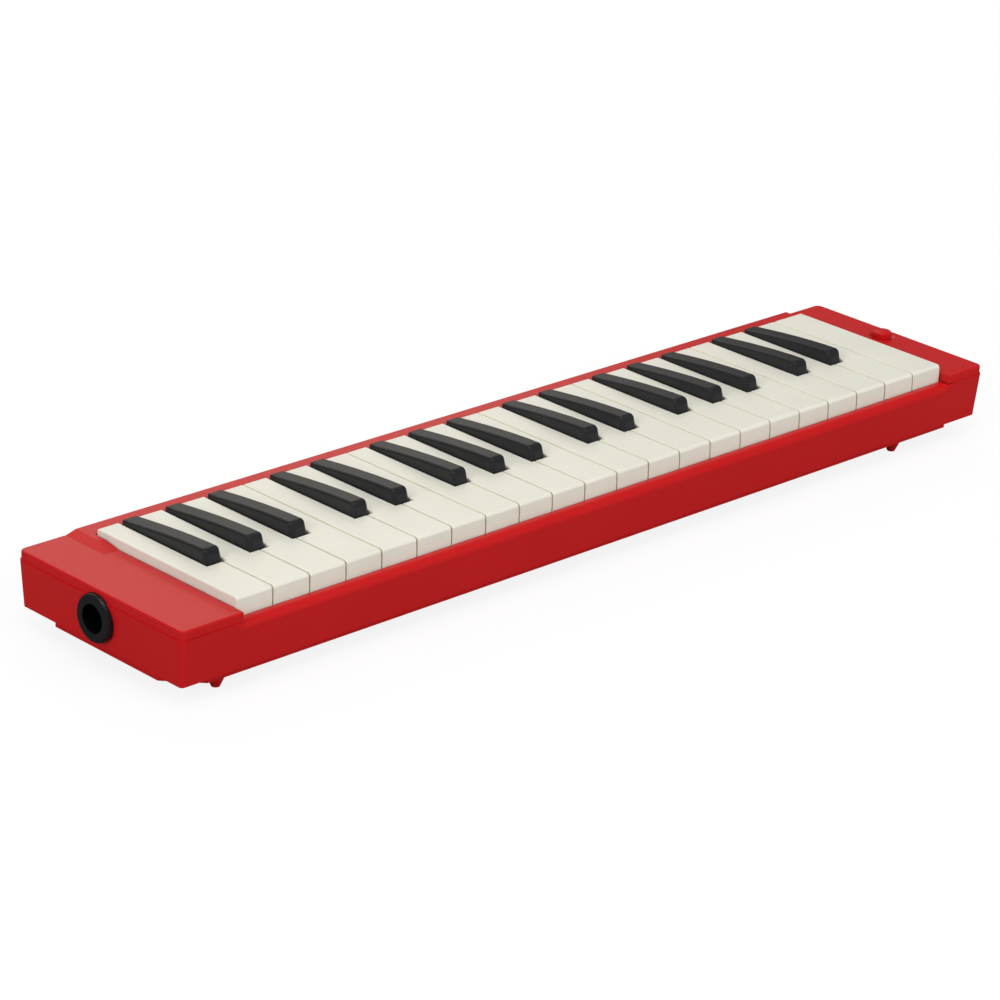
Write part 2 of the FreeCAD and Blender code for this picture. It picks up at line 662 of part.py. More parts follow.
def wind_chest():
    """The chest: a deck with a reed cell and a valve hole for each note, and a comb for the pivot rod."""
    blocks = chest_blocks("chest", "chest_floor", DECK_TOP)
    blocks.append(box("mouth_box", (MOUTH_BOX_LEFT, f"{MOUTH_Y} - end_box_depth / 2", "chest_floor"),
                      (CHEST_LEFT, f"{MOUTH_Y} + end_box_depth / 2", "end_box_top")))
    for step in range(SEMITONES + 1):
        middle = f"{lever_x(step)} - {SEMITONE} / 2"
        blocks.append(box(f"rib_{step}",
                          (f"{middle} - rib_thickness / 2", f"{PIVOT_Y} - rib_length / 2", DECK_BOTTOM),
                          (f"{middle} + rib_thickness / 2", f"{PIVOT_Y} + rib_length / 2", "rib_top")))
    solid = join("chest_solid", blocks)
    tools = chamber_blocks("chamber", "0", DECK_BOTTOM)
    tools.append(box("mouth_space", (f"{MOUTH_BOX_LEFT} + chest_end_wall",
                                     f"{MOUTH_Y} - end_box_depth / 2 + chest_end_wall", "0"),
                     (f"{CHEST_LEFT} - chest_end_wall", f"{MOUTH_Y} + end_box_depth / 2 - chest_end_wall",
                      "end_box_top - chest_end_wall")))
    tools.append(cylinder("mouth_seat", "socket_radius + seat_clearance", "2 * chest_end_wall",
                          (f"{MOUTH_BOX_LEFT} - chest_end_wall", MOUTH_Y, "mouth_height"), ALONG_X))
    tools.append(cylinder("rod_hole", "rod_radius + rod_clearance", CASE_LENGTH,
                          (CASE_LEFT, PIVOT_Y, "pivot_height"), ALONG_X))
    tools.append(cylinder("stem_hole", "stem_radius + stem_clearance", "3 * deck_thickness",
                          (DRAIN_X, DRAIN_Y, f"{DECK_BOTTOM} - deck_thickness")))
    for step in range(SEMITONES):
        middle = lever_x(step)
        tools.append(box(f"cell_{step}",
                         (f"{middle} - cell_width / 2", f"{CHAMBER_FRONT} + cell_margin", DECK_BOTTOM),
                         (f"{middle} + cell_width / 2", CELL_BACK, f"{DECK_BOTTOM} + cell_depth")))
        tools.append(box(f"valve_{step}", (f"{middle} - valve_width / 2", VALVE_FRONT, DECK_BOTTOM),
                         (f"{middle} + valve_width / 2", VALVE_BACK, f"{DECK_TOP} + deck_thickness")))
    for number, (x, y) in enumerate(CHEST_SCREWS):
        tools.append(cylinder(f"chest_thread_{number}", "small_screw + screw_clearance", "small_screw_length",
                              (x, y, "chest_floor")))
    for number, (x, y) in enumerate(PLATE_SCREWS):
        tools.append(cylinder(f"plate_thread_{number}", "small_screw + screw_clearance", "small_screw_length",
                              (x, y, PLATE_BOTTOM)))
    for number, (x, y) in enumerate(COMB_SCREWS):
        tools.append(cylinder(f"comb_thread_{number}", "small_screw + screw_clearance", "small_screw_length",
                              (x, y, f"{DECK_TOP} - small_screw_length")))
    return cut("wind_chest", solid, tools)


def chest_holes(name):
    """Clearance holes for the chest screws."""
    return [cylinder(f"{name}_{number}", "small_screw + screw_clearance", "chest_floor", (x, y, "0"))
            for number, (x, y) in enumerate(CHEST_SCREWS)]


def chest_gasket():
    """The rubber gasket between the chest and its cover, open over the whole air space."""
    sheet_of_rubber = join("gasket_sheet", chest_blocks("gasket", GASKET_BOTTOM, "chest_floor"))
    return cut("chest_gasket", sheet_of_rubber, chamber_blocks("gasket_window", "0", "2 * chest_floor")
               + chest_holes("gasket_hole"))


def chest_cover():
    """The plate that closes the chest from below, with the drain hole."""
    plate = join("cover_plate", chest_blocks("chest_plate", CHEST_COVER_BOTTOM, GASKET_BOTTOM))
    drain = cylinder("drain_hole_tool", "drain_hole", "chest_floor", (DRAIN_X, DRAIN_Y, "0"))
    recesses = [cylinder(f"cover_screw_recess_{number}", "small_head + screw_clearance",
                         f"{CHEST_COVER_BOTTOM} + head_height", (x, y, "0"))
                for number, (x, y) in enumerate(CHEST_SCREWS)]
    return cut("chest_cover", plate, [drain] + chest_holes("cover_screw_hole") + recesses)


# ---------------------------------------------------------------- reeds

SLOT_START = f"({CHAMBER_FRONT} + slot_inset)"
RIVET_Y = f"({SLOT_START} - reed_root / 2)"


def reed_length(step):
    """Free length of a reed, shorter for each higher note."""
    return f"(reed_low_length + (reed_high_length - reed_low_length) * {step} / {SEMITONES - 1})"


def reed_plate(name, first, last):
    """A metal plate with a slot and a rivet hole for each of its reeds."""
    gap = "key_gap / 2"
    plate = box(f"{name}_blank", (f"{lever_x(first)} - {SEMITONE} / 2 + {gap}", f"{CHAMBER_FRONT} + {gap}",
                                  PLATE_BOTTOM),
                (f"{lever_x(last)} + {SEMITONE} / 2 - {gap}", f"{CHAMBER_BACK} - {gap}", DECK_BOTTOM))
    tools = []
    for step in range(first, last + 1):
        half = "(reed_width / 2 + reed_clearance)"
        tools.append(box(f"slot_{step}", (f"{lever_x(step)} - {half}", SLOT_START, "0"),
                         (f"{lever_x(step)} + {half}", f"{SLOT_START} + {reed_length(step)} + reed_clearance",
                          DECK_TOP)))
        tools.append(cylinder(f"rivet_hole_{step}", "rivet_radius + screw_clearance", DECK_TOP,
                              (lever_x(step), RIVET_Y, "0")))
    left = value(lever_x(first))
    right = value(lever_x(last))
    for number, (x, y) in enumerate(PLATE_SCREWS):
        if left < value(x) < right:
            tools.append(cylinder(f"{name}_screw_hole_{number}", "small_screw + screw_clearance", DECK_TOP,
                                  (x, y, "0")))
    return cut(name, plate, tools)


def reeds():
    """37 brass tongues under the plates, each held at its root."""
    tongues = []
    for step in range(SEMITONES):
        middle = lever_x(step)
        blank = box(f"tongue_{step}", (f"{middle} - reed_width / 2", f"{SLOT_START} - reed_root",
                                       f"{PLATE_BOTTOM} - reed_thickness"),
                    (f"{middle} + reed_width / 2", f"{SLOT_START} + {reed_length(step)}", PLATE_BOTTOM))
        hole = cylinder(f"tongue_hole_{step}", "rivet_radius + screw_clearance", DECK_TOP,
                        (middle, RIVET_Y, "0"))
        tongues.append(cut(f"reed_{step}", blank, [hole]))
    return group("reeds", tongues)


def reed_rivets():
    """One rivet for each reed, with its head below the tongue and its shank through the plate."""
    rivets = []
    for step in range(SEMITONES):
        at = (lever_x(step), RIVET_Y)
        shank = cylinder(f"rivet_shank_{step}", "rivet_radius", "plate_thickness + reed_thickness",
                         at + (f"{PLATE_BOTTOM} - reed_thickness",))
        head = cylinder(f"rivet_head_{step}", "rivet_head", "rivet_head_height",
                        at + (f"{PLATE_BOTTOM} - reed_thickness - rivet_head_height",))
        rivets.append(join(f"rivet_{step}", [shank, head]))
    return group("reed_rivets", rivets)


# ---------------------------------------------------------------- key action

KEY_UNDERSIDE = "(key_top - key_plate)"
KEY_SIDE_BOTTOM = "(key_top - key_side_depth)"
FELT_TOP = f"({KEY_SIDE_BOTTOM} - key_dip_room)"


def pivot_rod():
    """The steel rod that all 37 keys turn on."""
    return cylinder("pivot_rod", "rod_radius", f"{SEMITONES} * {SEMITONE} + 2 * rib_thickness",
                    (f"{lever_x(0)} - {SEMITONE} / 2 - rib_thickness", PIVOT_Y, "pivot_height"), ALONG_X)


def lever(name, step):
    """What every key has at its back: pivot boss, web and tail arm."""
    left = f"{lever_x(step)} - lever_width / 2"
    right = f"{lever_x(step)} + lever_width / 2"
    boss = cylinder(f"{name}_boss", "boss_radius", "lever_width", (left, PIVOT_Y, "pivot_height"), ALONG_X)
    web = box(f"{name}_web", (left, f"{PIVOT_Y} - boss_radius", "pivot_height"),
              (right, f"{PIVOT_Y} + boss_radius", f"{KEY_UNDERSIDE} + key_plate / 2"))
    arm = box(f"{name}_arm", (left, PIVOT_Y, LEVER_BOTTOM),
              (right, f"{PIVOT_Y} + lever_length", f"{LEVER_BOTTOM} + lever_thickness"))
    return [boss, web, arm]


def lever_cuts(name, step):
    """The bore for the rod, and the room beside the lever that the comb's ribs stand in."""
    bore = cylinder(f"{name}_bore", "rod_radius + rod_clearance", "2 * key_pitch",
                    (f"{lever_x(step)} - key_pitch", PIVOT_Y, "pivot_height"), ALONG_X)
    rooms = []
    for side, near, far in (("low", f"{lever_x(step)} - key_pitch", f"{lever_x(step)} - lever_width / 2"),
                            ("high", f"{lever_x(step)} + lever_width / 2", f"{lever_x(step)} + key_pitch")):
        rooms.append(box(f"{name}_room_{side}", (near, f"{PIVOT_Y} - rib_room", "0"),
                         (far, f"{PIVOT_Y} + rib_room", "rib_top + rib_headroom")))
    return [bore] + rooms


def tail_pad(name, step):
    """The soft pad glued under the tail, resting on the valve hole."""
    return box(f"{name}_pad", (f"{lever_x(step)} - pad_width / 2", PAD_FRONT, DECK_TOP),
               (f"{lever_x(step)} + pad_width / 2", PAD_BACK, LEVER_BOTTOM))


def white_key(name, number, step, neighbours):
    """A white key: hollow head with a round front edge, notched tail, lever and pad."""
    left = f"({BED_LEFT} + {number} * key_pitch + key_gap / 2)"
    right = f"({BED_LEFT} + {number + 1} * key_pitch - key_gap / 2)"
    head = box(f"{name}_head", (left, KEY_FRONT, "key_top - key_front_depth"), (right, KEY_BACK, "key_top"))
    below = box(f"{name}_below", (f"{left} - {PAST}", f"{KEY_FRONT} + key_plate", "0"),
                (f"{right} + {PAST}", f"{KEY_BACK} + {PAST}", KEY_SIDE_BOTTOM))
    hollow = box(f"{name}_hollow", (f"{left} + key_wall", f"{KEY_FRONT} + key_plate", "0"),
                 (f"{right} - key_wall", f"{KEY_FRONT} + black_front - 2 * key_wall", KEY_UNDERSIDE))
    channel = box(f"{name}_channel",
                  (f"{lever_x(step)} - hollow_width / 2", f"{KEY_FRONT} + black_front", "0"),
                  (f"{lever_x(step)} + hollow_width / 2", f"{PIVOT_Y} - hollow_gap", KEY_UNDERSIDE))
    tools = [below, hollow, channel]
    for black in neighbours:
        half = "(black_width / 2 + black_notch)"
        tools.append(box(f"{name}_notch_{black}", (f"{lever_x(black)} - {half}",
                                                   f"{KEY_FRONT} + black_front - nose_gap", "0"),
                         (f"{lever_x(black)} + {half}", f"{KEY_BACK} + {PAST}", "2 * key_top")))
    body = cut(f"{name}_body", head, tools)
    doc.recompute()
    front_limit = value(KEY_FRONT) + MATCH
    height_limit = value("key_top") - MATCH
    edge = next(number for number, line in enumerate(body.Shape.Edges, start=1)
                if line.BoundBox.YMax < front_limit and line.BoundBox.ZMin > height_limit)
    rounded = doc.addObject("Part::Fillet", f"{name}_rounded")
    rounded.Base = body
    radius = value("key_front_round")
    rounded.Edges = [(edge, radius, radius)]
    whole = join(f"{name}_whole", [rounded] + lever(name, step))
    return group(name, [cut(f"{name}_solid", whole, lever_cuts(name, step)), tail_pad(name, step)])


def black_key(name, step):
    """A black key: a cap that rises towards its sloping nose, with drafted sides, lever and pad."""
    side = doc.addObject("PartDesign::Body", f"{name}_side")
    nose = f"{KEY_FRONT} + black_front"
    back = f"{KEY_BACK} - key_gap"
    crown = []
    for number in range(CROWN_STEPS + 1):
        share = number / CROWN_STEPS
        rise = 1 - (1 - share) ** CROWN_POWER
        crown.append((f"{back} + ({nose} + black_nose - ({back})) * {share}",
                      f"key_top + black_back_rise + (black_front_rise - black_back_rise) * {rise:.5f}"))
    profile = outline(sketch_on(side, f"{name}_profile", "YZ_Plane", f"{lever_x(step)} - black_width / 2"),
                      [(nose, KEY_SIDE_BOTTOM), (back, KEY_SIDE_BOTTOM)] + crown
                      + [(nose, "key_top - key_plate")])
    pad(side, profile, "black_width")
    front = doc.addObject("PartDesign::Body", f"{name}_front")
    half = "black_width / 2"
    top = "black_top_width / 2"
    section = outline(sketch_on(front, f"{name}_section", "XZ_Plane", f"0 - ({back}) - {PAST}"),
                      [(f"{lever_x(step)} - {half}", f"{KEY_SIDE_BOTTOM} - {PAST}"),
                       (f"{lever_x(step)} + {half}", f"{KEY_SIDE_BOTTOM} - {PAST}"),
                       (f"{lever_x(step)} + {half}", KEY_UNDERSIDE),
                       (f"{lever_x(step)} + {top}", "key_top + black_front_rise"),
                       (f"{lever_x(step)} - {top}", "key_top + black_front_rise"),
                       (f"{lever_x(step)} - {half}", KEY_UNDERSIDE)])
    pad(front, section, f"{KEY_BACK} - ({KEY_FRONT})")
    cap = doc.addObject("Part::Common", f"{name}_cap")
    cap.Base = side
    cap.Tool = front
    channel = box(f"{name}_channel", (f"{lever_x(step)} - hollow_width / 2", f"{nose} + 2 * key_wall", "0"),
                  (f"{lever_x(step)} + hollow_width / 2", f"{PIVOT_Y} - hollow_gap", KEY_UNDERSIDE))
    shell = cut(f"{name}_shell", cap, [channel])
    whole = join(f"{name}_whole", [shell] + lever(name, step))
    return group(name, [cut(f"{name}_solid", whole, lever_cuts(name, step)), tail_pad(name, step)])


def keys():
    """All 37 keys, from the low F to the high F."""
    made = []
    for step in range(SEMITONES):
        octave = FIRST_OCTAVE + (step + 5) // OCTAVE
        place_in_octave = step % OCTAVE
        for note, offset in WHITE_STEPS.items():
            if offset == place_in_octave:
                number = OCTAVE_WHITES * (step // OCTAVE) + list(WHITE_STEPS).index(note)
                neighbours = [near for near in (step - 1, step + 1)
                              if near % OCTAVE in BLACK_STEPS.values() and 0 <= near < SEMITONES]
                made.append(white_key(f"key_{note}{octave}", number, step, neighbours))
        for note, offset in BLACK_STEPS.items():
            if offset == place_in_octave:
                made.append(black_key(f"key_{note}{octave}", step))
    return made


def spring_comb():
    """A comb of leaf springs, one finger under each key just in front of the rod."""
    body = doc.addObject("PartDesign::Body", "comb_fingers")
    start = f"{PIVOT_Y} - spring_reach"
    bend = f"{start} + spring_foot"
    tip = f"{PIVOT_Y} - spring_tip_gap"
    tip_top = f"{KEY_SIDE_BOTTOM} - spring_gap"
    finger = outline(sketch_on(body, "finger_profile", "YZ_Plane", f"{lever_x(0)} - spring_width / 2"),
                     [(start, DECK_TOP), (bend, DECK_TOP), (tip, f"{tip_top} - spring_thickness"),
                      (tip, tip_top), (f"{bend} - spring_thickness / 2", f"{DECK_TOP} + spring_thickness"),
                      (start, f"{DECK_TOP} + spring_thickness")])
    first = pad(body, finger, "spring_width")
    row_of_fingers = body.newObject("PartDesign::LinearPattern", "finger_row")
    row_of_fingers.Originals = [first]
    row_of_fingers.Direction = (finger, ["N_Axis"])
    row_of_fingers.Occurrences = SEMITONES
    bind(row_of_fingers, Length=f"{SEMITONES - 1} * {SEMITONE}")
    body.Tip = row_of_fingers
    strip = box("comb_strip", (f"{lever_x(0)} - {SEMITONE} / 2", start, DECK_TOP),
                (f"{lever_x(SEMITONES - 1)} + {SEMITONE} / 2", f"{start} + strip_width",
                 f"{DECK_TOP} + spring_thickness"))
    holes = [cylinder(f"comb_hole_{number}", "small_screw + screw_clearance", "pivot_height", (x, y, "0"))
             for number, (x, y) in enumerate(COMB_SCREWS)]
    return cut("spring_comb", join("comb_sheet", [body, strip]), holes)


def key_frame():
    """The front rail that guides the white keys from inside and carries their stop felt."""
    rail = box("frame_rail", (BED_LEFT, FRAME_FRONT, COVER_INSIDE),
               (BED_RIGHT, FRAME_BACK, f"{FELT_TOP} - felt_thickness"))
    inside = box("frame_inside", (f"{BED_LEFT} + frame_wall", f"{FRAME_FRONT} + frame_wall", "0"),
                 (f"{BED_RIGHT} - frame_wall", f"{FRAME_BACK} - frame_wall",
                  f"{FELT_TOP} - felt_thickness - frame_wall"))
    pieces = [cut("frame_channel", rail, [inside])]
    for number in range(WHITE_KEYS):
        left = f"{BED_LEFT} + {number} * key_pitch + key_gap / 2 + key_wall + guide_clearance"
        right = f"{BED_LEFT} + {number + 1} * key_pitch - key_gap / 2 - key_wall - guide_clearance"
        pieces.append(box(f"guide_{number}", (left, FRAME_FRONT, f"{FELT_TOP} - felt_thickness - frame_wall"),
                          (right, f"{FRAME_FRONT} + guide_depth", "guide_top")))
    for number, (x, y) in enumerate(FRAME_SCREWS):
        pieces.append(cylinder(f"frame_boss_{number}", "post_radius",
                               f"{FELT_TOP} - felt_thickness - {COVER_INSIDE} - frame_wall / 2",
                               (x, y, COVER_INSIDE)))
    holes = [cylinder(f"frame_thread_{number}", "case_screw + screw_clearance", "post_hole + cover_floor",
                      (x, y, "cover_bottom")) for number, (x, y) in enumerate(FRAME_SCREWS)]
    return cut("key_frame", join("frame_solid", pieces), holes)


def white_key_felt():
    """The felt strip that the white keys stop on."""
    return box("white_key_felt", (BED_LEFT, f"{FRAME_FRONT} + guide_depth + guide_clearance",
                                  f"{FELT_TOP} - felt_thickness"), (BED_RIGHT, FRAME_BACK, FELT_TOP))


def black_key_felt():
    """The felt strip on the front of the deck, under the black keys."""
    return box("black_key_felt", (BED_LEFT, f"{CHEST_FRONT} + key_gap", DECK_TOP),
               (BED_RIGHT, f"{CHEST_FRONT} + key_gap + deck_felt_width", f"{DECK_TOP} + felt_thickness"))


# ---------------------------------------------------------------- mouth and drain

def mouth_socket():
    """The black mouth ring and its tube into the chest."""
    body = doc.addObject("PartDesign::Body", "mouth_socket")
    flange = "(ring_proud + ring_seat)"
    end = f"({MOUTH_BOX_LEFT} - ({CASE_LEFT}) + ring_proud + chest_end_wall)"
    revolved(body, [("mouth_bore", "0"), ("ring_radius - ring_chamfer", "0"), ("ring_radius", "ring_chamfer"),
                    ("ring_radius", flange), ("socket_radius", flange), ("socket_radius", end),
                    ("mouth_bore", end)])
    return place(body, f"{CASE_LEFT} - ring_proud", MOUTH_Y, "mouth_height", ALONG_X)


def socket_oring():
    """The rubber ring that seals the tube against the chest."""
    ring = doc.addObject("Part::Torus", "socket_oring")
    bind(ring, Radius1="socket_radius + oring_section + screw_clearance", Radius2="oring_section")
    return place(ring, f"{MOUTH_BOX_LEFT} - oring_section - screw_clearance", MOUTH_Y, "mouth_height",
                 ALONG_X)


BUTTON_TOP = "(plateau_height + button_proud)"
BUTTON_BOTTOM = f"({BUTTON_TOP} - button_depth)"
SEAL_BOTTOM = f"({CHEST_COVER_BOTTOM} - seal_thickness)"


def drain_button():
    """The red button with its stem, which ends in a riveted head under the seal."""
    body = doc.addObject("PartDesign::Body", "drain_button")
    end = f"({SEAL_BOTTOM} - rivet_end_height)"
    revolved(body, [("0", end), ("rivet_end_radius", end), ("rivet_end_radius", SEAL_BOTTOM),
                    ("stem_radius", SEAL_BOTTOM), ("stem_radius", BUTTON_BOTTOM),
                    ("button_radius", BUTTON_BOTTOM),
                    ("button_radius", f"{BUTTON_TOP} - button_round"),
                    ("button_radius - button_round", BUTTON_TOP), ("0", BUTTON_TOP)])
    return place(body, DRAIN_X, DRAIN_Y)


def drain_seal():
    """The rubber washer that the stem pulls up against the chest cover."""
    disc = cylinder("seal_disc", "seal_radius", "seal_thickness", (DRAIN_X, DRAIN_Y, SEAL_BOTTOM))
    bore = cylinder("seal_bore", "stem_radius + screw_clearance", "chest_floor", (DRAIN_X, DRAIN_Y, "0"))
    return cut("drain_seal", disc, [bore])


def drain_spring():
    """The coil spring between the deck and the button's head."""
    helix = doc.addObject("Part::Helix", "spring_helix")
    bind(helix, Radius="coil_radius", Pitch="coil_pitch",
         Height=f"{BUTTON_BOTTOM} - ({DECK_TOP}) - 2 * wire_radius")
    wire = doc.addObject("Part::Circle", "spring_wire")
    bind(wire, Radius="wire_radius")
    wire.Placement = FreeCAD.Placement(FreeCAD.Vector(), FreeCAD.Rotation(FreeCAD.Vector(1, 0, 0), 90))
    wire.setExpression("Placement.Base.x", formula("coil_radius"))
    sweep = doc.addObject("Part::Sweep", "drain_spring")
    sweep.Sections = [wire]
    sweep.Spine = (helix, [])
    sweep.Solid = True
    sweep.Frenet = True
    return place(sweep, DRAIN_X, DRAIN_Y, f"{DECK_TOP} + wire_radius")


def fasteners():
    """Screws of three kinds, identical ones together."""
    case = screws("case_screws", COVER_SCREWS, "case_screw", "case_screw_head", "case_screw_length",
                  "(cover_bottom + head_recess)", upside_down=True)
    chest = screws("chest_screws", CHEST_SCREWS, "small_screw", "small_head", "small_screw_length",
                   f"({CHEST_COVER_BOTTOM} + head_height)", upside_down=True)
    pieces = [screws("under_plate", PLATE_SCREWS, "small_screw", "small_head", "small_screw_length",
                     PLATE_BOTTOM, upside_down=True),
              screws("over_comb", COMB_SCREWS, "small_screw", "small_head", "small_screw_length",
                     f"({DECK_TOP} + spring_thickness)")]
    return [case, chest, group("plate_screws", pieces)]


# ---------------------------------------------------------------- build, check and write

subparts = [upper_case(), bottom_cover(), wind_chest(), chest_gasket(), chest_cover(),
            reed_plate("reed_plate_low", 0, LOW_REEDS - 1),
            reed_plate("reed_plate_high", LOW_REEDS, SEMITONES - 1),
            reeds(), reed_rivets(), pivot_rod(), spring_comb(), key_frame(), white_key_felt(),
            black_key_felt(), mouth_socket(), socket_oring(), drain_button(), drain_seal(), drain_spring()]
subparts += fasteners()
subparts += keys()
doc.recompute()

for thing in doc.Objects:
    if "Invalid" in thing.State or "Error" in thing.State:
        raise RuntimeError(f"{thing.Name} did not build: {thing.State}")

os.makedirs("parts", exist_ok=True)
for part in subparts:
    shape = part.Shape
    if shape.isNull() or not shape.isValid() or not shape.Solids:
        raise RuntimeError(f"{part.Name} has no valid solid")
    part.Label = part.Name
    shape.exportStep(os.path.join("parts", f"{part.Label}.step"))
    print(part.Label, len(shape.Solids), round(shape.Volume, 1))
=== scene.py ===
"""Looks of a 37-key melodica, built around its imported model."""

import json
import math

import bmesh
import bpy
from bpy.props import (
    FloatProperty, FloatVectorProperty, IntProperty, PointerProperty, StringProperty)
from mathutils import Matrix, Vector


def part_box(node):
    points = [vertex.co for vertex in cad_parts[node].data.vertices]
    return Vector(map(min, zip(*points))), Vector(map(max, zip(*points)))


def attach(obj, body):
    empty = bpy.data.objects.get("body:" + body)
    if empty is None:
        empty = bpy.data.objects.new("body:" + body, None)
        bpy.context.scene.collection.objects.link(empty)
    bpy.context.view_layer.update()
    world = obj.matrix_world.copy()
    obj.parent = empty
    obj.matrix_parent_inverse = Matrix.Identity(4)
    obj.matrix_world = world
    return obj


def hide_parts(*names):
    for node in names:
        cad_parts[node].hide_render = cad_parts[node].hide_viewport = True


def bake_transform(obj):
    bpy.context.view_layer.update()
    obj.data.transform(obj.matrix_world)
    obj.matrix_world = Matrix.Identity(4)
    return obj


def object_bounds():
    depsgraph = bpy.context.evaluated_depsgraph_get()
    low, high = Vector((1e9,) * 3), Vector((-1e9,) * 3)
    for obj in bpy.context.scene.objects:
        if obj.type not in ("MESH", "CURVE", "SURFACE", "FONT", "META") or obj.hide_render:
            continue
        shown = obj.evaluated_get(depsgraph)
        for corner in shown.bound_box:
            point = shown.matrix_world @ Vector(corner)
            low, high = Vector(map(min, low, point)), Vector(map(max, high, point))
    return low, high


bl_info = {
    "name": "Melodica Looks",
    "version": (1, 0, 0),
    "blender": (4, 5, 0),
    "location": "3D View > Sidebar > Melodica",
    "description": "Builds the visible pieces, materials and studio of a 37-key melodica",
    "category": "Object",
}

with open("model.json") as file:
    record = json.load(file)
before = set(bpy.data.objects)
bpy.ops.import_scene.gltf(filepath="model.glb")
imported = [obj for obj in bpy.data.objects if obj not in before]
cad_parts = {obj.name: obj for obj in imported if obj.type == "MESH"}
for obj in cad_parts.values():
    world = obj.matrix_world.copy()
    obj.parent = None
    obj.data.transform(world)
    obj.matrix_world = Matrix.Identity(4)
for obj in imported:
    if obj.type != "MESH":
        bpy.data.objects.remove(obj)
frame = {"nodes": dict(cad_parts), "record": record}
CAD_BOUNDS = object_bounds()

MM = 0.001
WHITE = (1, 1, 1, 1)

# Edges that turn by more than this are sharp, and are rounded where they stand out.
SHARP_ANGLE = math.radians(30)
# Between this and the sharp angle, the level lines of the case's shallow ramps stay crisp.
CREASE_ANGLE = math.radians(8)
# Faces that turn by less than this from each other are one flat face.
FLAT_ANGLE = math.radians(0.5)
# Corners closer than this are one corner.
MERGE_DISTANCE = 0.002 * MM
# An edge runs along an axis if more than this share of its direction does.
ALONG_AXIS = 0.9
# An edge counts as upright from this share of its direction.
UPRIGHT = 0.5
# A face looks sideways if more than this share of its normal does.
SIDEWAYS = 0.99
# Faces across the roundings that a bevel weight sets, and across the front lip's.
WEIGHTED_SEGMENTS = 4
LIP_SEGMENTS = 8

# How far from the ledge's height, and behind the front of the model, its front edge may lie.
LEDGE_TOLERANCE = 0.1 * MM
FRONT_DEPTH = 1.5 * MM
# The lip is rounded from this far inside one end of the row of keys to the other end.
LIP_INSET = 0.5 * MM
CUT_TOLERANCE = 0.01 * MM
# A key's felt pad is further behind the pivot rod, and lower below the rod's top, than this.
PAD_BEHIND = 4 * MM
PAD_BELOW = 2.3 * MM
# The caps of the white and the black keys start at these heights.
WHITE_CAP_HEIGHT = 29.5 * MM
BLACK_CAP_HEIGHT = 38 * MM
# The noses of the black keys are in front of this Y.
BLACK_NOSE_BACK = -5 * MM

# Most values of a noise texture lie between these.
NOISE_LOW, NOISE_HIGH = 0.3, 0.7


# ---------------------------------------------------------------- materials

def linear(colour):
    """Turn an sRGB hex colour into linear RGBA."""
    levels = [int(colour[start:start + 2], 16) / 255 for start in (1, 3, 5)]
    return tuple(level / 12.92 if level <= 0.04045 else ((level + 0.055) / 1.055) ** 2.4
                 for level in levels) + (1.0,)


def empty_tree(block):
    """Give a material or a world an empty node tree."""
    block.use_nodes = True
    block.node_tree.nodes.clear()
    return block.node_tree


def add_node(tree, kind, properties=None, sockets=None):
    """Add a node. A socket takes a value, or a pair of a node and its output to link from."""
    made = tree.nodes.new(kind)
    for name, value in (properties or {}).items():
        setattr(made, name, value)
    for name, value in (sockets or {}).items():
        if isinstance(value, tuple) and isinstance(value[0], bpy.types.Node):
            tree.links.new(value[0].outputs[value[1]], made.inputs[name])
        else:
            made.inputs[name].default_value = value
    return made


def surface(name, light, dark, patch, grain, relief, gloss, stretch=(1, 1, 1), **shader):
    """A material of two close colours in soft patches, with a fine relief and an uneven gloss.

    patch, grain and relief are in millimetres, gloss is the span of roughness, and shader
    holds constants of the shader's own sockets. A material of that name is built again.
    """
    material = bpy.data.materials.get(name) or bpy.data.materials.new(name)
    tree = empty_tree(material)
    place = add_node(tree, "ShaderNodeTexCoord")
    spread = add_node(tree, "ShaderNodeMapping", sockets={
        "Vector": (place, "Object"), "Scale": stretch})
    patches = add_node(tree, "ShaderNodeTexNoise", sockets={
        "Vector": (spread, "Vector"), "Scale": 1 / (patch * MM), "Detail": 3.0,
        "Roughness": 0.55})
    grains = add_node(tree, "ShaderNodeTexNoise", sockets={
        "Vector": (spread, "Vector"), "Scale": 1 / (grain * MM), "Detail": 2.0,
        "Roughness": 0.5})
    share = add_node(tree, "ShaderNodeMapRange", sockets={
        "Value": (patches, "Fac"), "From Min": NOISE_LOW, "From Max": NOISE_HIGH})
    # A colour mix has its two colours in sockets 6 and 7, and gives its result in output 2.
    colour = add_node(tree, "ShaderNodeMix", {"data_type": "RGBA"}, {
        "Factor": (share, "Result"), 6: linear(light), 7: linear(dark)})
    sheen = add_node(tree, "ShaderNodeMapRange", sockets={
        "Value": (grains, "Fac"), "From Min": NOISE_LOW, "From Max": NOISE_HIGH,
        "To Min": gloss[0], "To Max": gloss[1]})
    bump = add_node(tree, "ShaderNodeBump", sockets={
        "Height": (grains, "Fac"), "Distance": relief * MM, "Strength": 1.0})
    body = add_node(tree, "ShaderNodeBsdfPrincipled", sockets={
        "Base Color": (colour, 2), "Roughness": (sheen, "Result"),
        "Normal": (bump, "Normal"), **shader})
    add_node(tree, "ShaderNodeOutputMaterial", sockets={"Surface": (body, "BSDF")})
    return material


def case_abs(looks):
    """Red ABS, moulded in a polished tool: an even gloss with a faint orange peel."""
    return surface("Moulded red ABS", looks.case_light, looks.case_dark,
                   patch=60, grain=2.5, relief=0.0015, gloss=(0.28, 0.34),
                   **{"IOR": 1.53, "Specular IOR Level": 0.25})


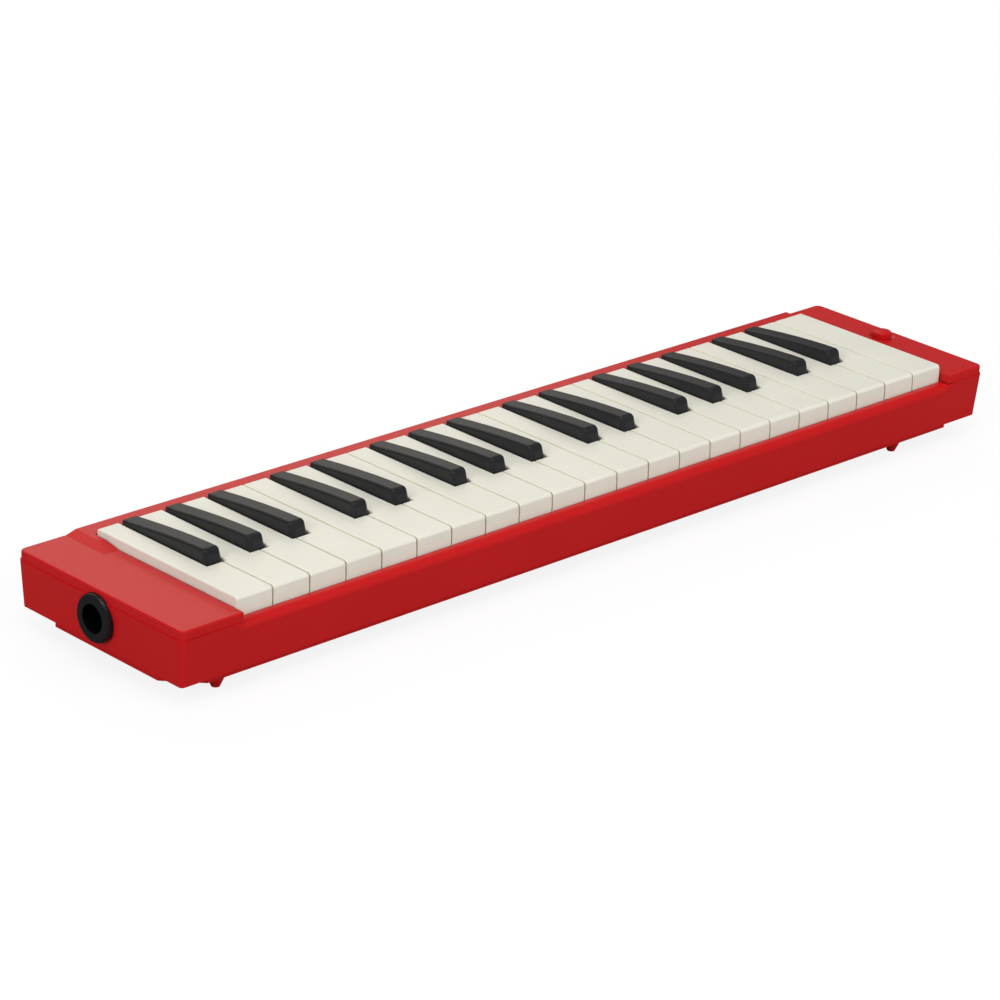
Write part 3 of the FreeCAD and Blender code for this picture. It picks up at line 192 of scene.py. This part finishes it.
def key_white(looks):
    """Ivory-white key plastic: a soft gloss over a slightly milky body."""
    return surface("Moulded ivory plastic", looks.white_light, looks.white_dark,
                   patch=35, grain=2.5, relief=0.004, gloss=(0.28, 0.38),
                   **{"IOR": 1.5, "Specular IOR Level": 0.28,
                      "Subsurface Weight": 0.08, "Subsurface Scale": 0.002})


def key_side_shade(looks):
    """The same plastic on the sides between the keys, in a warmer copy of its colour that paints
    the shade of the narrow gaps.
    """
    return surface("Moulded ivory plastic, key sides", looks.side_shade_light, looks.side_shade_dark,
                   patch=20, grain=1.5, relief=0.004, gloss=(0.4, 0.5), **{"IOR": 1.5})


def key_black(looks):
    """Black key plastic from a lightly etched tool: a satin face with a fine even grain."""
    # The real grain is about 0.1 mm; it is drawn five times as coarse so that it shows.
    return surface("Etched black ABS", looks.black_light, looks.black_dark,
                   patch=18, grain=0.5, relief=0.003, gloss=(0.3, 0.4),
                   **{"IOR": 1.53, "Specular IOR Level": 0.28})


def ring_black(looks):
    """The mouth socket: black polypropylene, smooth and slightly waxy."""
    return surface("Moulded black polypropylene", looks.ring_light, looks.ring_dark,
                   patch=8, grain=0.9, relief=0.003, gloss=(0.3, 0.42), **{"IOR": 1.49})


def bore_painted_shade():
    """The same polypropylene down the bore, left dull by the core pin, and darker than the ring:
    painted shade inside the bore.
    """
    return surface("Moulded black polypropylene, bore", "#080808", "#050505",
                   patch=8, grain=0.9, relief=0.003, gloss=(0.6, 0.7),
                   **{"IOR": 1.49, "Specular IOR Level": 0.1})


def inner_materials():
    """Materials of the pieces inside the case, by the record's material slot."""
    return {
        # Grey ABS of the chest and frame: matt, straight from a spark-eroded tool.
        "chest_plastic": surface("Moulded grey ABS", "#B9B8B2", "#A9A8A2", patch=25, grain=0.8,
                                 relief=0.01, gloss=(0.5, 0.62), **{"IOR": 1.53}),
        # Nitrile rubber: dark and dull, with a faint bloom.
        "seal_rubber": surface("Nitrile rubber", "#232323", "#2E2E2D", patch=6, grain=0.5,
                               relief=0.01, gloss=(0.7, 0.85), **{"IOR": 1.52}),
        # Aluminium sheet: rolled along X, which draws the grain out that way.
        "plate_aluminium": surface("Rolled aluminium", "#D2D3D5", "#C0C1C4", patch=12, grain=0.5,
                                   relief=0.002, gloss=(0.28, 0.42), stretch=(0.08, 1, 1),
                                   **{"Metallic": 1.0}),
        # Brass reed strip: ground along the tongue.
        "reed_brass": surface("Ground brass", "#D9B86A", "#C7A252", patch=10, grain=0.4,
                              relief=0.002, gloss=(0.22, 0.36), stretch=(1, 0.08, 1),
                              **{"Metallic": 1.0}),
        # Phosphor bronze spring strip: redder than brass, rolled.
        "spring_bronze": surface("Rolled phosphor bronze", "#C98F5E", "#B57B4D", patch=9,
                                 grain=0.4, relief=0.002, gloss=(0.25, 0.4),
                                 stretch=(1, 0.08, 1), **{"Metallic": 1.0}),
        # Zinc-plated steel: pale grey with a soft, slightly cloudy shine.
        "steel": surface("Zinc-plated steel", "#C4C6C8", "#AEB0B3", patch=3, grain=0.4,
                         relief=0.003, gloss=(0.25, 0.4), **{"Metallic": 1.0}),
        # Pressed wool felt: dull, with short fibres that catch the light at the edge.
        "felt": surface("Pressed wool felt", "#7A1B22", "#64141A", patch=4, grain=0.6,
                        relief=0.12, gloss=(0.9, 1.0),
                        **{"Sheen Weight": 0.4, "Sheen Roughness": 0.6}),
    }


# ---------------------------------------------------------------- shapes

def merged_copy(node):
    """A mesh of a model node with its doubled corners joined and its flat faces made whole."""
    shape = bmesh.new()
    shape.from_mesh(frame["nodes"][node].data)
    bmesh.ops.remove_doubles(shape, verts=shape.verts, dist=MERGE_DISTANCE)
    bmesh.ops.dissolve_limit(
        shape, angle_limit=FLAT_ANGLE, verts=shape.verts, edges=shape.edges)
    return shape


def stands_out(edge):
    """Whether an edge is sharp and outer, so that it can be rounded."""
    return edge.is_convex and edge.calc_face_angle() > SHARP_ANGLE


def round_edges(shape, edges, width, segments, clamp):
    """Round some edges of a mesh. With clamp, roundings never run into each other."""
    bmesh.ops.bevel(shape, geom=edges, offset=width, offset_type="OFFSET", segments=segments,
                    profile=0.5, affect="EDGES", clamp_overlap=clamp, material=-1)


def weigh_edges(shape, width_of):
    """Give each edge that stands out its own rounding, as a share of the widest one.

    width_of gives an edge's rounding. Returns the widest.
    """
    # The layer comes first, because adding one makes Python's hold on edges void.
    shares = shape.edges.layers.float.new("bevel_weight_edge")
    widths = {edge: width_of(edge) for edge in shape.edges if stands_out(edge)}
    widest = max(widths.values())
    for edge, width in widths.items():
        edge[shares] = width / widest
    return widest


def mark_creases(shape):
    """Keep the level lines of shallow ramps crisp.

    Upright lines are facets of a round corner and stay smooth.
    """
    for edge in shape.edges:
        if edge.is_manifold:
            angle = edge.calc_face_angle()
            along = (edge.verts[0].co - edge.verts[1].co).normalized()
            edge.smooth = angle < SHARP_ANGLE and (
                angle < CREASE_ANGLE or abs(along.z) > UPRIGHT)


def smooth_piece(shape, name, materials, creased=False):
    """Turn a bmesh into an object with smooth faces between its sharp edges."""
    mesh = bpy.data.meshes.new(name)
    if creased:
        mark_creases(shape)
    shape.to_mesh(mesh)
    shape.free()
    for material in materials:
        mesh.materials.append(material)
    for face in mesh.polygons:
        face.use_smooth = True
    if not creased:
        mesh.set_sharp_from_angle(angle=SHARP_ANGLE)
    piece = bpy.data.objects.new(name, mesh)
    bpy.context.scene.collection.objects.link(piece)
    return piece


def finish_piece(shape, name, materials, body, nodes, rounding=0, creased=False):
    """Turn a bmesh into a piece that rides on a body and stands for model nodes.

    rounding is the widest rounding of edges that carry a bevel weight. A creased piece keeps
    shallow lines crisp, and its roundings are held back where they would run into each other.
    """
    piece = smooth_piece(shape, name, materials, creased)
    if rounding:
        bevel = piece.modifiers.new("Rounded edges", "BEVEL")
        bevel.limit_method = "WEIGHT"
        bevel.width = rounding
        bevel.segments = WEIGHTED_SEGMENTS
        bevel.use_clamp_overlap = creased
    even = piece.modifiers.new("Even normals", "WEIGHTED_NORMAL")
    even.keep_sharp = True
    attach(piece, body)
    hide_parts(*nodes)


def turned(profile, centre, axis, steps=64):
    """A turned shape, from a closed half section that is spun about an axis.

    profile is pairs of a radius and a length along the axis, in millimetres.
    """
    shape = bmesh.new()
    corners = [shape.verts.new((radius * MM, 0, along * MM)) for radius, along in profile]
    edges = [shape.edges.new((corners[index - 1], corner))
             for index, corner in enumerate(corners)]
    bmesh.ops.spin(shape, geom=corners + edges, cent=(0, 0, 0), axis=(0, 0, 1),
                   angle=math.tau, steps=steps, use_merge=True)
    bmesh.ops.remove_doubles(shape, verts=shape.verts, dist=MERGE_DISTANCE)
    bmesh.ops.dissolve_degenerate(shape, edges=shape.edges, dist=MERGE_DISTANCE)
    bmesh.ops.recalc_face_normals(shape, faces=shape.faces)
    turn = Vector((0, 0, 1)).rotation_difference(Vector(axis)).to_matrix().to_4x4()
    bmesh.ops.transform(shape, matrix=Matrix.Translation(centre) @ turn, verts=shape.verts)
    return shape


def arc(centre, radius, start, end, steps=8):
    """Points on an arc of a half section, from one angle to another in degrees."""
    angles = [math.radians(start + (end - start) * step / steps) for step in range(steps + 1)]
    return [(centre[0] + radius * math.cos(angle), centre[1] + radius * math.sin(angle))
            for angle in angles]


# ---------------------------------------------------------------- settings

class MelodicaLooks(bpy.types.PropertyGroup):
    """Sizes and colours of the visible pieces."""
    case_light: StringProperty(
        name="Case colour", description="sRGB colour of the case", default="#BC1517")
    case_dark: StringProperty(
        name="Case colour, darker", description="Its darker patches", default="#B81315")
    white_light: StringProperty(
        name="White key colour", description="sRGB colour of the white keys", default="#DCDACE")
    white_dark: StringProperty(
        name="White key colour, darker", description="Its darker patches", default="#D8D6C9")
    # Painted shade: a warmer copy of the ivory for the key sides between the keys, standing in
    # for the shaded gaps.
    side_shade_light: StringProperty(
        name="White key side colour", description="sRGB colour between the white keys",
        default="#E2DDC8")
    side_shade_dark: StringProperty(
        name="White key side colour, darker", description="Its darker patches",
        default="#DBD6BF")
    black_light: StringProperty(
        name="Black key colour", description="sRGB colour of the black keys", default="#252628")
    black_dark: StringProperty(
        name="Black key colour, darker", description="Its darker patches", default="#202123")
    ring_light: StringProperty(
        name="Mouth ring colour", description="sRGB colour of the mouth ring",
        default="#18181A")
    ring_dark: StringProperty(
        name="Mouth ring colour, darker", description="Its darker patches", default="#121214")
    case_round: FloatProperty(
        name="Case edge round", description="Rounding of the case's edges",
        default=0.6 * MM, unit="LENGTH")
    ledge_round: FloatProperty(
        name="Ledge edge round", description="Rounding of the edge of the ledge round the case",
        default=0.15 * MM, unit="LENGTH")
    lip_round: FloatProperty(
        name="Front lip round", description="Rounding of the case's lip below the key fronts",
        default=4.0 * MM, unit="LENGTH")
    ledge_height: FloatProperty(
        name="Ledge height", description="Height of the ledge round the case",
        default=29.8 * MM, unit="LENGTH")
    white_round: FloatProperty(
        name="White key edge round", description="Rounding of the white keys",
        default=0.5 * MM, unit="LENGTH")
    black_round: FloatProperty(
        name="Black key edge round", description="Rounding along a black key's top",
        default=0.9 * MM, unit="LENGTH")
    nose_round: FloatProperty(
        name="Black key nose round", description="Rounding over a black key's nose",
        default=2.6 * MM, unit="LENGTH")
    corner_round: FloatProperty(
        name="Black key corner round",
        description="Rounding of the upright corners of a black key's nose",
        default=2.0 * MM, unit="LENGTH")
    button_crown: FloatProperty(
        name="Button crown", description="Height of the button's domed top",
        default=0.35 * MM, unit="LENGTH")
    segments: IntProperty(
        name="White key round segments", description="Faces across a white key's rounded edge",
        default=3, min=1, max=6)


class StudioSettings(bpy.types.PropertyGroup):
    """Camera and light of the studio."""
    lens: FloatProperty(
        name="Lens", description="Focal length on a 36 mm sensor", default=141.08,
        unit="CAMERA")
    aim: FloatVectorProperty(
        name="Camera aim", description="Point that the camera looks at",
        default=(-0.01213, 0.00753, 0.01107), subtype="TRANSLATION", unit="LENGTH")
    turn: FloatProperty(
        name="Camera turn", description="Turn about the vertical, from the front",
        default=math.radians(-45.223), subtype="ANGLE")
    height: FloatProperty(
        name="Camera height", description="Angle above the floor",
        default=math.radians(22.591), subtype="ANGLE")
    roll: FloatProperty(
        name="Camera roll", description="Roll about the line of sight",
        default=math.radians(2.968), subtype="ANGLE")
    distance: FloatProperty(
        name="Camera distance", description="Distance from the point aimed at",
        default=1.71936, unit="LENGTH")
    light: FloatProperty(
        name="Light level", description="Multiplies every lamp", default=1.0, min=0)


# ---------------------------------------------------------------- pieces

class MELODICA_OT_case(bpy.types.Operator):
    """Build the case and its bottom cover with rounded edges"""
    bl_idname = "melodica.case"
    bl_label = "Case and cover"

    def execute(self, context):
        looks = context.scene.melodica_looks
        red = case_abs(looks)
        ends = (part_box("key_f3")[0].x + LIP_INSET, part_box("key_f6")[1].x - LIP_INSET)
        for node in ("upper_case", "bottom_cover"):
            shape = merged_copy(node)
            if node == "upper_case":
                self.round_lip(shape, looks, ends)
            rounding = weigh_edges(shape, lambda edge: self.case_width(edge, looks, ends))
            finish_piece(shape, f"{node}_moulding", [red], "case", [node],
                         rounding, creased=True)
        return {"FINISHED"}

    def round_lip(self, shape, looks, ends):
        """Round the lip of the front wall below the key fronts.

        The front edge runs on along the ledge of the end blocks, which is too narrow for that
        rounding, so the faces on both sides of the edge are cut at the ends of the lip first.
        """
        for across in ends:
            faces = {face for edge in self.front_edges(shape, looks) for face in edge.link_faces}
            parts = (faces | {edge for face in faces for edge in face.edges}
                     | {vert for face in faces for vert in face.verts})
            bmesh.ops.bisect_plane(shape, geom=list(parts), plane_co=(across, 0, 0),
                                   plane_no=(1, 0, 0), dist=MERGE_DISTANCE)
        start, end = ends
        lip = [edge for edge in self.front_edges(shape, looks)
               if all(start - CUT_TOLERANCE < vert.co.x < end + CUT_TOLERANCE
                      for vert in edge.verts)]
        round_edges(shape, lip, looks.lip_round, LIP_SEGMENTS, clamp=False)

    def front_edges(self, shape, looks):
        """The outer edges of the ledge along the front wall."""
        front = CAD_BOUNDS[0][1] + FRONT_DEPTH
        return [edge for edge in shape.edges
                if stands_out(edge) and self.on_ledge(edge, looks)
                and all(vert.co.y < front for vert in edge.verts)]

    def on_ledge(self, edge, looks):
        """Whether an edge lies at the height of the ledge round the case."""
        return all(abs(vert.co.z - looks.ledge_height) < LEDGE_TOLERANCE
                   for vert in edge.verts)

    def case_width(self, edge, looks, ends):
        """Rounding of one edge: fine along the ledge, none where the lip's rounding ends."""
        for across in ends:
            if all(abs(vert.co.x - across) < CUT_TOLERANCE for vert in edge.verts):
                return 0
        return looks.ledge_round if self.on_ledge(edge, looks) else looks.case_round


class MELODICA_OT_keys(bpy.types.Operator):
    """Build all the keys with rounded edges and their pads"""
    bl_idname = "melodica.keys"
    bl_label = "Keys"

    def execute(self, context):
        looks = context.scene.melodica_looks
        felt = inner_materials()["felt"]
        side = key_side_shade(looks)
        white = [key_white(looks), felt, side]
        black = [key_black(looks), felt]
        low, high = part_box("pivot_rod")
        pad_front = (low.y + high.y) / 2 + PAD_BEHIND
        pad_top = high.z - PAD_BELOW
        for node in sorted(name for name in frame["nodes"]
                           if name.startswith("key_") and name != "key_frame"):
            # Sharps have an s in their name, such as key_fs3.
            sharp = "s" in node.removeprefix("key_")
            materials = black if sharp else white
            shape = merged_copy(node)
            for face in shape.faces:
                centre = face.calc_center_median()
                if centre.z < pad_top and centre.y > pad_front:
                    face.material_index = materials.index(felt)
                # Sides between the keys take the warmer copy, painted shade of the gaps; the
                # open side of the first key keeps the top's colour.
                elif not sharp and self.between_keys(node, face):
                    face.material_index = materials.index(side)
            if sharp:
                rounding = weigh_edges(shape, lambda edge: self.black_width(edge, looks))
                finish_piece(shape, f"{node}_cap", materials, node, [node],
                             rounding)
            else:
                edges = [edge for edge in shape.edges if stands_out(edge)
                         and min(vert.co.z for vert in edge.verts) > WHITE_CAP_HEIGHT]
                round_edges(shape, edges, looks.white_round, looks.segments, clamp=True)
                finish_piece(shape, f"{node}_cap", materials, node, [node])
        return {"FINISHED"}

    def between_keys(self, node, face):
        """Whether a face is a key's side, apart from the open left side of the first key."""
        open_side = node == "key_f3" and face.normal.x < 0
        return abs(face.normal.x) > SIDEWAYS and not open_side

    def black_width(self, edge, looks):
        """Rounding of an edge of a black key: wide over the nose, least along the top."""
        start, end = (vert.co for vert in edge.verts)
        along = (end - start).normalized()
        if max(start.z, end.z) < BLACK_CAP_HEIGHT:
            return 0
        if abs(along.x) > ALONG_AXIS:
            return looks.nose_round if max(start.y, end.y) < BLACK_NOSE_BACK else 0
        return looks.black_round if abs(along.y) > ALONG_AXIS else looks.corner_round


class MELODICA_OT_mouth(bpy.types.Operator):
    """Build the black mouth socket"""
    bl_idname = "melodica.mouth"
    bl_label = "Mouth socket"

    def execute(self, context):
        looks = context.scene.melodica_looks
        low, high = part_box("mouth_socket")
        centre = Vector((low.x, (low.y + high.y) / 2, (low.z + high.z) / 2))
        # Radii of the flange, the tube and its bore, in millimetres like all that follow.
        outer, tube, bore = (high.z - low.z) / 2 / MM, 8.0, 6.2
        # Lengths of the tube and the flange.
        length, flange = (high.x - low.x) / MM, 3.6
        # Roundings of the flange's rim and the bore's mouth.
        rim, mouth = 1.4, 0.3
        # Faces whose middle is no further out than this from the bore's radius are its wall.
        margin = 0.05
        profile = (arc((bore + mouth, mouth), mouth, 180, 270)
                   + arc((outer - rim, rim), rim, -90, 0)
                   + [(outer, flange), (tube, flange), (tube, length), (bore, length)])
        shape = turned(profile, centre, (1, 0, 0))
        materials = [ring_black(looks), bore_painted_shade()]
        for face in shape.faces:
            out = face.calc_center_median() - centre
            if math.hypot(out.y, out.z) < (bore + margin) * MM:
                # The bore's wall takes the darker copy of the ring plastic, painted shade inside
                # the bore.
                face.material_index = 1
        finish_piece(shape, "mouth_ring", materials, "case", ["mouth_socket"])
        return {"FINISHED"}


class MELODICA_OT_button(bpy.types.Operator):
    """Build the red drain button with its stem, and the coil below it"""
    bl_idname = "melodica.button"
    bl_label = "Drain button"

    def execute(self, context):
        looks = context.scene.melodica_looks
        self.button(looks)
        self.coil()
        return {"FINISHED"}

    def button(self, looks):
        """A head with a domed top on a stem, with a collar that holds the seal."""
        low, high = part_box("drain_button")
        centre = Vector(((low.x + high.x) / 2, (low.y + high.y) / 2, low.z))
        # Radii of the head, the stem and the collar, in millimetres like all that follow.
        head, stem, collar = (high.x - low.x) / 2 / MM, 1.5, 2.2
        # Heights of the whole, the head's underside, the collar and the domed top.
        height, under, collar_height = (high.z - low.z) / MM, 21.7, 0.8
        crown = looks.button_crown / MM
        # Rounding of the head's edge.
        edge = 0.6
        # Radius of the dome, and the angle from its middle to its edge.
        dome = (head - edge) ** 2 / (2 * crown) + crown / 2
        half = math.degrees(math.asin((head - edge) / dome))
        profile = ([(0, 0), (collar, 0), (collar, collar_height), (stem, collar_height),
                    (stem, under), (head, under)]
                   + arc((head - edge, height - crown - edge), edge, 0, 90 - half)
                   + arc((0, height - dome), dome, 90 - half, 90))
        shape = turned(profile, centre, (0, 0, 1))
        finish_piece(shape, "button_head", [case_abs(looks)], "drain_button",
                     ["drain_button"])

    def coil(self):
        """The spring below the button, between the case and the head, as one fixed piece."""
        coil = smooth_piece(merged_copy("drain_spring"), "drain_coil",
                            [inner_materials()["steel"]])
        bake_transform(coil)
        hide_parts("drain_spring")


class MELODICA_OT_inside(bpy.types.Operator):
    """Give every piece inside the case its own material"""
    bl_idname = "melodica.inside"
    bl_label = "Inner pieces"

    def execute(self, context):
        materials = inner_materials()
        for entry in frame["record"]["subparts"]:
            if entry["material_slot"] in materials:
                piece = frame["nodes"][entry["node"]]
                piece.data.materials.clear()
                piece.data.materials.append(materials[entry["material_slot"]])
        return {"FINISHED"}


# ---------------------------------------------------------------- studio

SENSOR_WIDTH = 36

# The floor's colour as the camera sees it, as light bounces off it, and in reflections. The
# last two are darker, which keeps the case a deep red.
FLOOR_SEEN, FLOOR_BOUNCED, FLOOR_MIRRORED = "#F7F7F6", "#A6A6A5", "#5E5E5E"
# How much of what the camera sees of the floor is even white, and not its shaded colour.
FLOOR_GLOW = 0.85
# From the middle of the floor to its edge, in metres.
FLOOR_REACH = 4

# Strength of the world as a light, and in reflections. The camera sees it at 1.
WORLD_LIGHT, WORLD_MIRRORED = 0.35, 0.12

# Name, place, point aimed at, width and height, watts, colour, and whether glossy faces mirror
# the lamp. The side lamps aren't mirrored, which keeps glare off the tops. The back panel ends
# before the treble keys, so that only the bass end of the tops mirrors it.
LAMPS = (
    ("overhead", (-0.6, -0.4, 2.6), (0, 0, 0), (2.0, 2.0), 28.0, "#FFFFFF", True),
    ("front", (0.9, -3.4, 1.5), (0, 0, 0), (2.4, 2.4), 76.0, "#FFFFFF", False),
    ("left", (-3.6, -0.4, 1.5), (0, 0, 0), (2.4, 2.4), 76.0, "#FFFFFF", False),
    ("fill", (2.4, 2.8, 1.4), (0, 0, 0), (2.4, 2.4), 42.0, "#FFFFFF", False),
    ("back", (0.585, 1.2, 0.7), (0.585, 0, 0), (1.57, 0.9), 3.6, "#FFF6E8", True),
)


class MELODICA_OT_stage(bpy.types.Operator):
    """Set up the camera, floor, background and soft lights"""
    bl_idname = "melodica.stage"
    bl_label = "Studio"

    def execute(self, context):
        scene = context.scene
        studio = scene.melodica_studio
        self.camera(scene, studio)
        self.floor(scene)
        self.world(scene)
        for name, at, aim, size, watts, tone, mirrored in LAMPS:
            self.lamp(scene, name, at, aim, size, watts * studio.light, tone, mirrored)
        scene.view_settings.view_transform = "Standard"
        return {"FINISHED"}

    def camera(self, scene, studio):
        """A long lens, aimed at the middle of the instrument."""
        back = Vector((math.sin(studio.turn) * math.cos(studio.height),
                       -math.cos(studio.turn) * math.cos(studio.height),
                       math.sin(studio.height)))
        right = Vector((math.cos(studio.turn), math.sin(studio.turn), 0))
        facing = Matrix((right, back.cross(right), back)).transposed()
        rolled = facing @ Matrix.Rotation(studio.roll, 3, "Z")
        data = bpy.data.cameras.new("camera")
        data.lens = studio.lens
        data.sensor_width = SENSOR_WIDTH
        camera = bpy.data.objects.new("camera", data)
        camera.matrix_world = (
            Matrix.Translation(Vector(studio.aim) + back * studio.distance) @ rolled.to_4x4())
        scene.collection.objects.link(camera)
        scene.camera = camera

    def floor(self, scene):
        """A pale floor that keeps a soft shadow of the instrument."""
        shape = bmesh.new()
        bmesh.ops.create_grid(shape, x_segments=1, y_segments=1, size=FLOOR_REACH)
        mesh = bpy.data.meshes.new("floor")
        shape.to_mesh(mesh)
        shape.free()
        material = bpy.data.materials.new("White studio paper")
        tree = empty_tree(material)
        path = add_node(tree, "ShaderNodeLightPath")
        unseen = add_node(tree, "ShaderNodeMix", {"data_type": "RGBA"}, {
            "Factor": (path, "Is Glossy Ray"),
            6: linear(FLOOR_BOUNCED), 7: linear(FLOOR_MIRRORED)})
        tone = add_node(tree, "ShaderNodeMix", {"data_type": "RGBA"}, {
            "Factor": (path, "Is Camera Ray"), 6: (unseen, 2), 7: linear(FLOOR_SEEN)})
        paper = add_node(tree, "ShaderNodeBsdfDiffuse", sockets={"Color": (tone, 2)})
        glow = add_node(tree, "ShaderNodeEmission", sockets={"Color": WHITE, "Strength": 1.0})
        seen = add_node(tree, "ShaderNodeMath", {"operation": "MAXIMUM"}, {
            0: (path, "Is Camera Ray"), 1: (path, "Is Transmission Ray")})
        share = add_node(tree, "ShaderNodeMath", {"operation": "MULTIPLY"}, {
            0: (seen, "Value"), 1: FLOOR_GLOW})
        both = add_node(tree, "ShaderNodeMixShader", sockets={
            "Fac": (share, "Value"), 1: (paper, "BSDF"), 2: (glow, "Emission")})
        add_node(tree, "ShaderNodeOutputMaterial", sockets={"Surface": (both, "Shader")})
        mesh.materials.append(material)
        floor = bpy.data.objects.new("floor", mesh)
        scene.collection.objects.link(floor)

    def world(self, scene):
        """White where the camera looks past the floor, and a dim even light elsewhere."""
        world = bpy.data.worlds.new("studio")
        tree = empty_tree(world)
        path = add_node(tree, "ShaderNodeLightPath")
        seen = add_node(tree, "ShaderNodeMath", {"operation": "MAXIMUM"}, {
            0: (path, "Is Camera Ray"), 1: (path, "Is Transmission Ray")})
        unseen = add_node(tree, "ShaderNodeMapRange", sockets={
            "Value": (path, "Is Glossy Ray"),
            "To Min": WORLD_LIGHT, "To Max": WORLD_MIRRORED})
        level = add_node(tree, "ShaderNodeMath", {"operation": "MAXIMUM"}, {
            0: (seen, "Value"), 1: (unseen, "Result")})
        sky = add_node(tree, "ShaderNodeBackground", sockets={
            "Color": WHITE, "Strength": (level, "Value")})
        add_node(tree, "ShaderNodeOutputWorld", sockets={"Surface": (sky, "Background")})
        scene.world = world

    def lamp(self, scene, name, at, aim, size, watts, tone, mirrored):
        """A soft box that the camera doesn't see."""
        data = bpy.data.lights.new(name, "AREA")
        data.shape = "RECTANGLE"
        data.size, data.size_y = size
        data.energy = watts
        data.color = linear(tone)[:3]
        lamp = bpy.data.objects.new(name, data)
        lamp.location = at
        lamp.rotation_euler = (Vector(aim) - Vector(at)).to_track_quat("-Z", "Y").to_euler()
        lamp.visible_camera = False
        lamp.visible_glossy = mirrored
        scene.collection.objects.link(lamp)


class MELODICA_PT_panel(bpy.types.Panel):
    """Lists the pieces of the melodica"""
    bl_idname = "MELODICA_PT_panel"
    bl_label = "Melodica"
    bl_space_type = "VIEW_3D"
    bl_region_type = "UI"
    bl_category = "Melodica"

    def draw(self, context):
        for operator in OPERATORS:
            self.layout.operator(operator.bl_idname)
        for group in (context.scene.melodica_looks, context.scene.melodica_studio):
            for name in group.__annotations__:
                self.layout.prop(group, name)


OPERATORS = (MELODICA_OT_stage, MELODICA_OT_case, MELODICA_OT_keys, MELODICA_OT_mouth,
             MELODICA_OT_button, MELODICA_OT_inside)
CLASSES = (MelodicaLooks, StudioSettings) + OPERATORS + (MELODICA_PT_panel,)


def register():
    for kind in CLASSES:
        bpy.utils.register_class(kind)
    bpy.types.Scene.melodica_looks = PointerProperty(type=MelodicaLooks)
    bpy.types.Scene.melodica_studio = PointerProperty(type=StudioSettings)


def unregister():
    del bpy.types.Scene.melodica_studio
    del bpy.types.Scene.melodica_looks
    for kind in reversed(CLASSES):
        bpy.utils.unregister_class(kind)


def main():
    register()
    for operator in OPERATORS:
        group, name = operator.bl_idname.split(".")
        getattr(getattr(bpy.ops, group), name)()


if __name__ == "__main__":
    main()
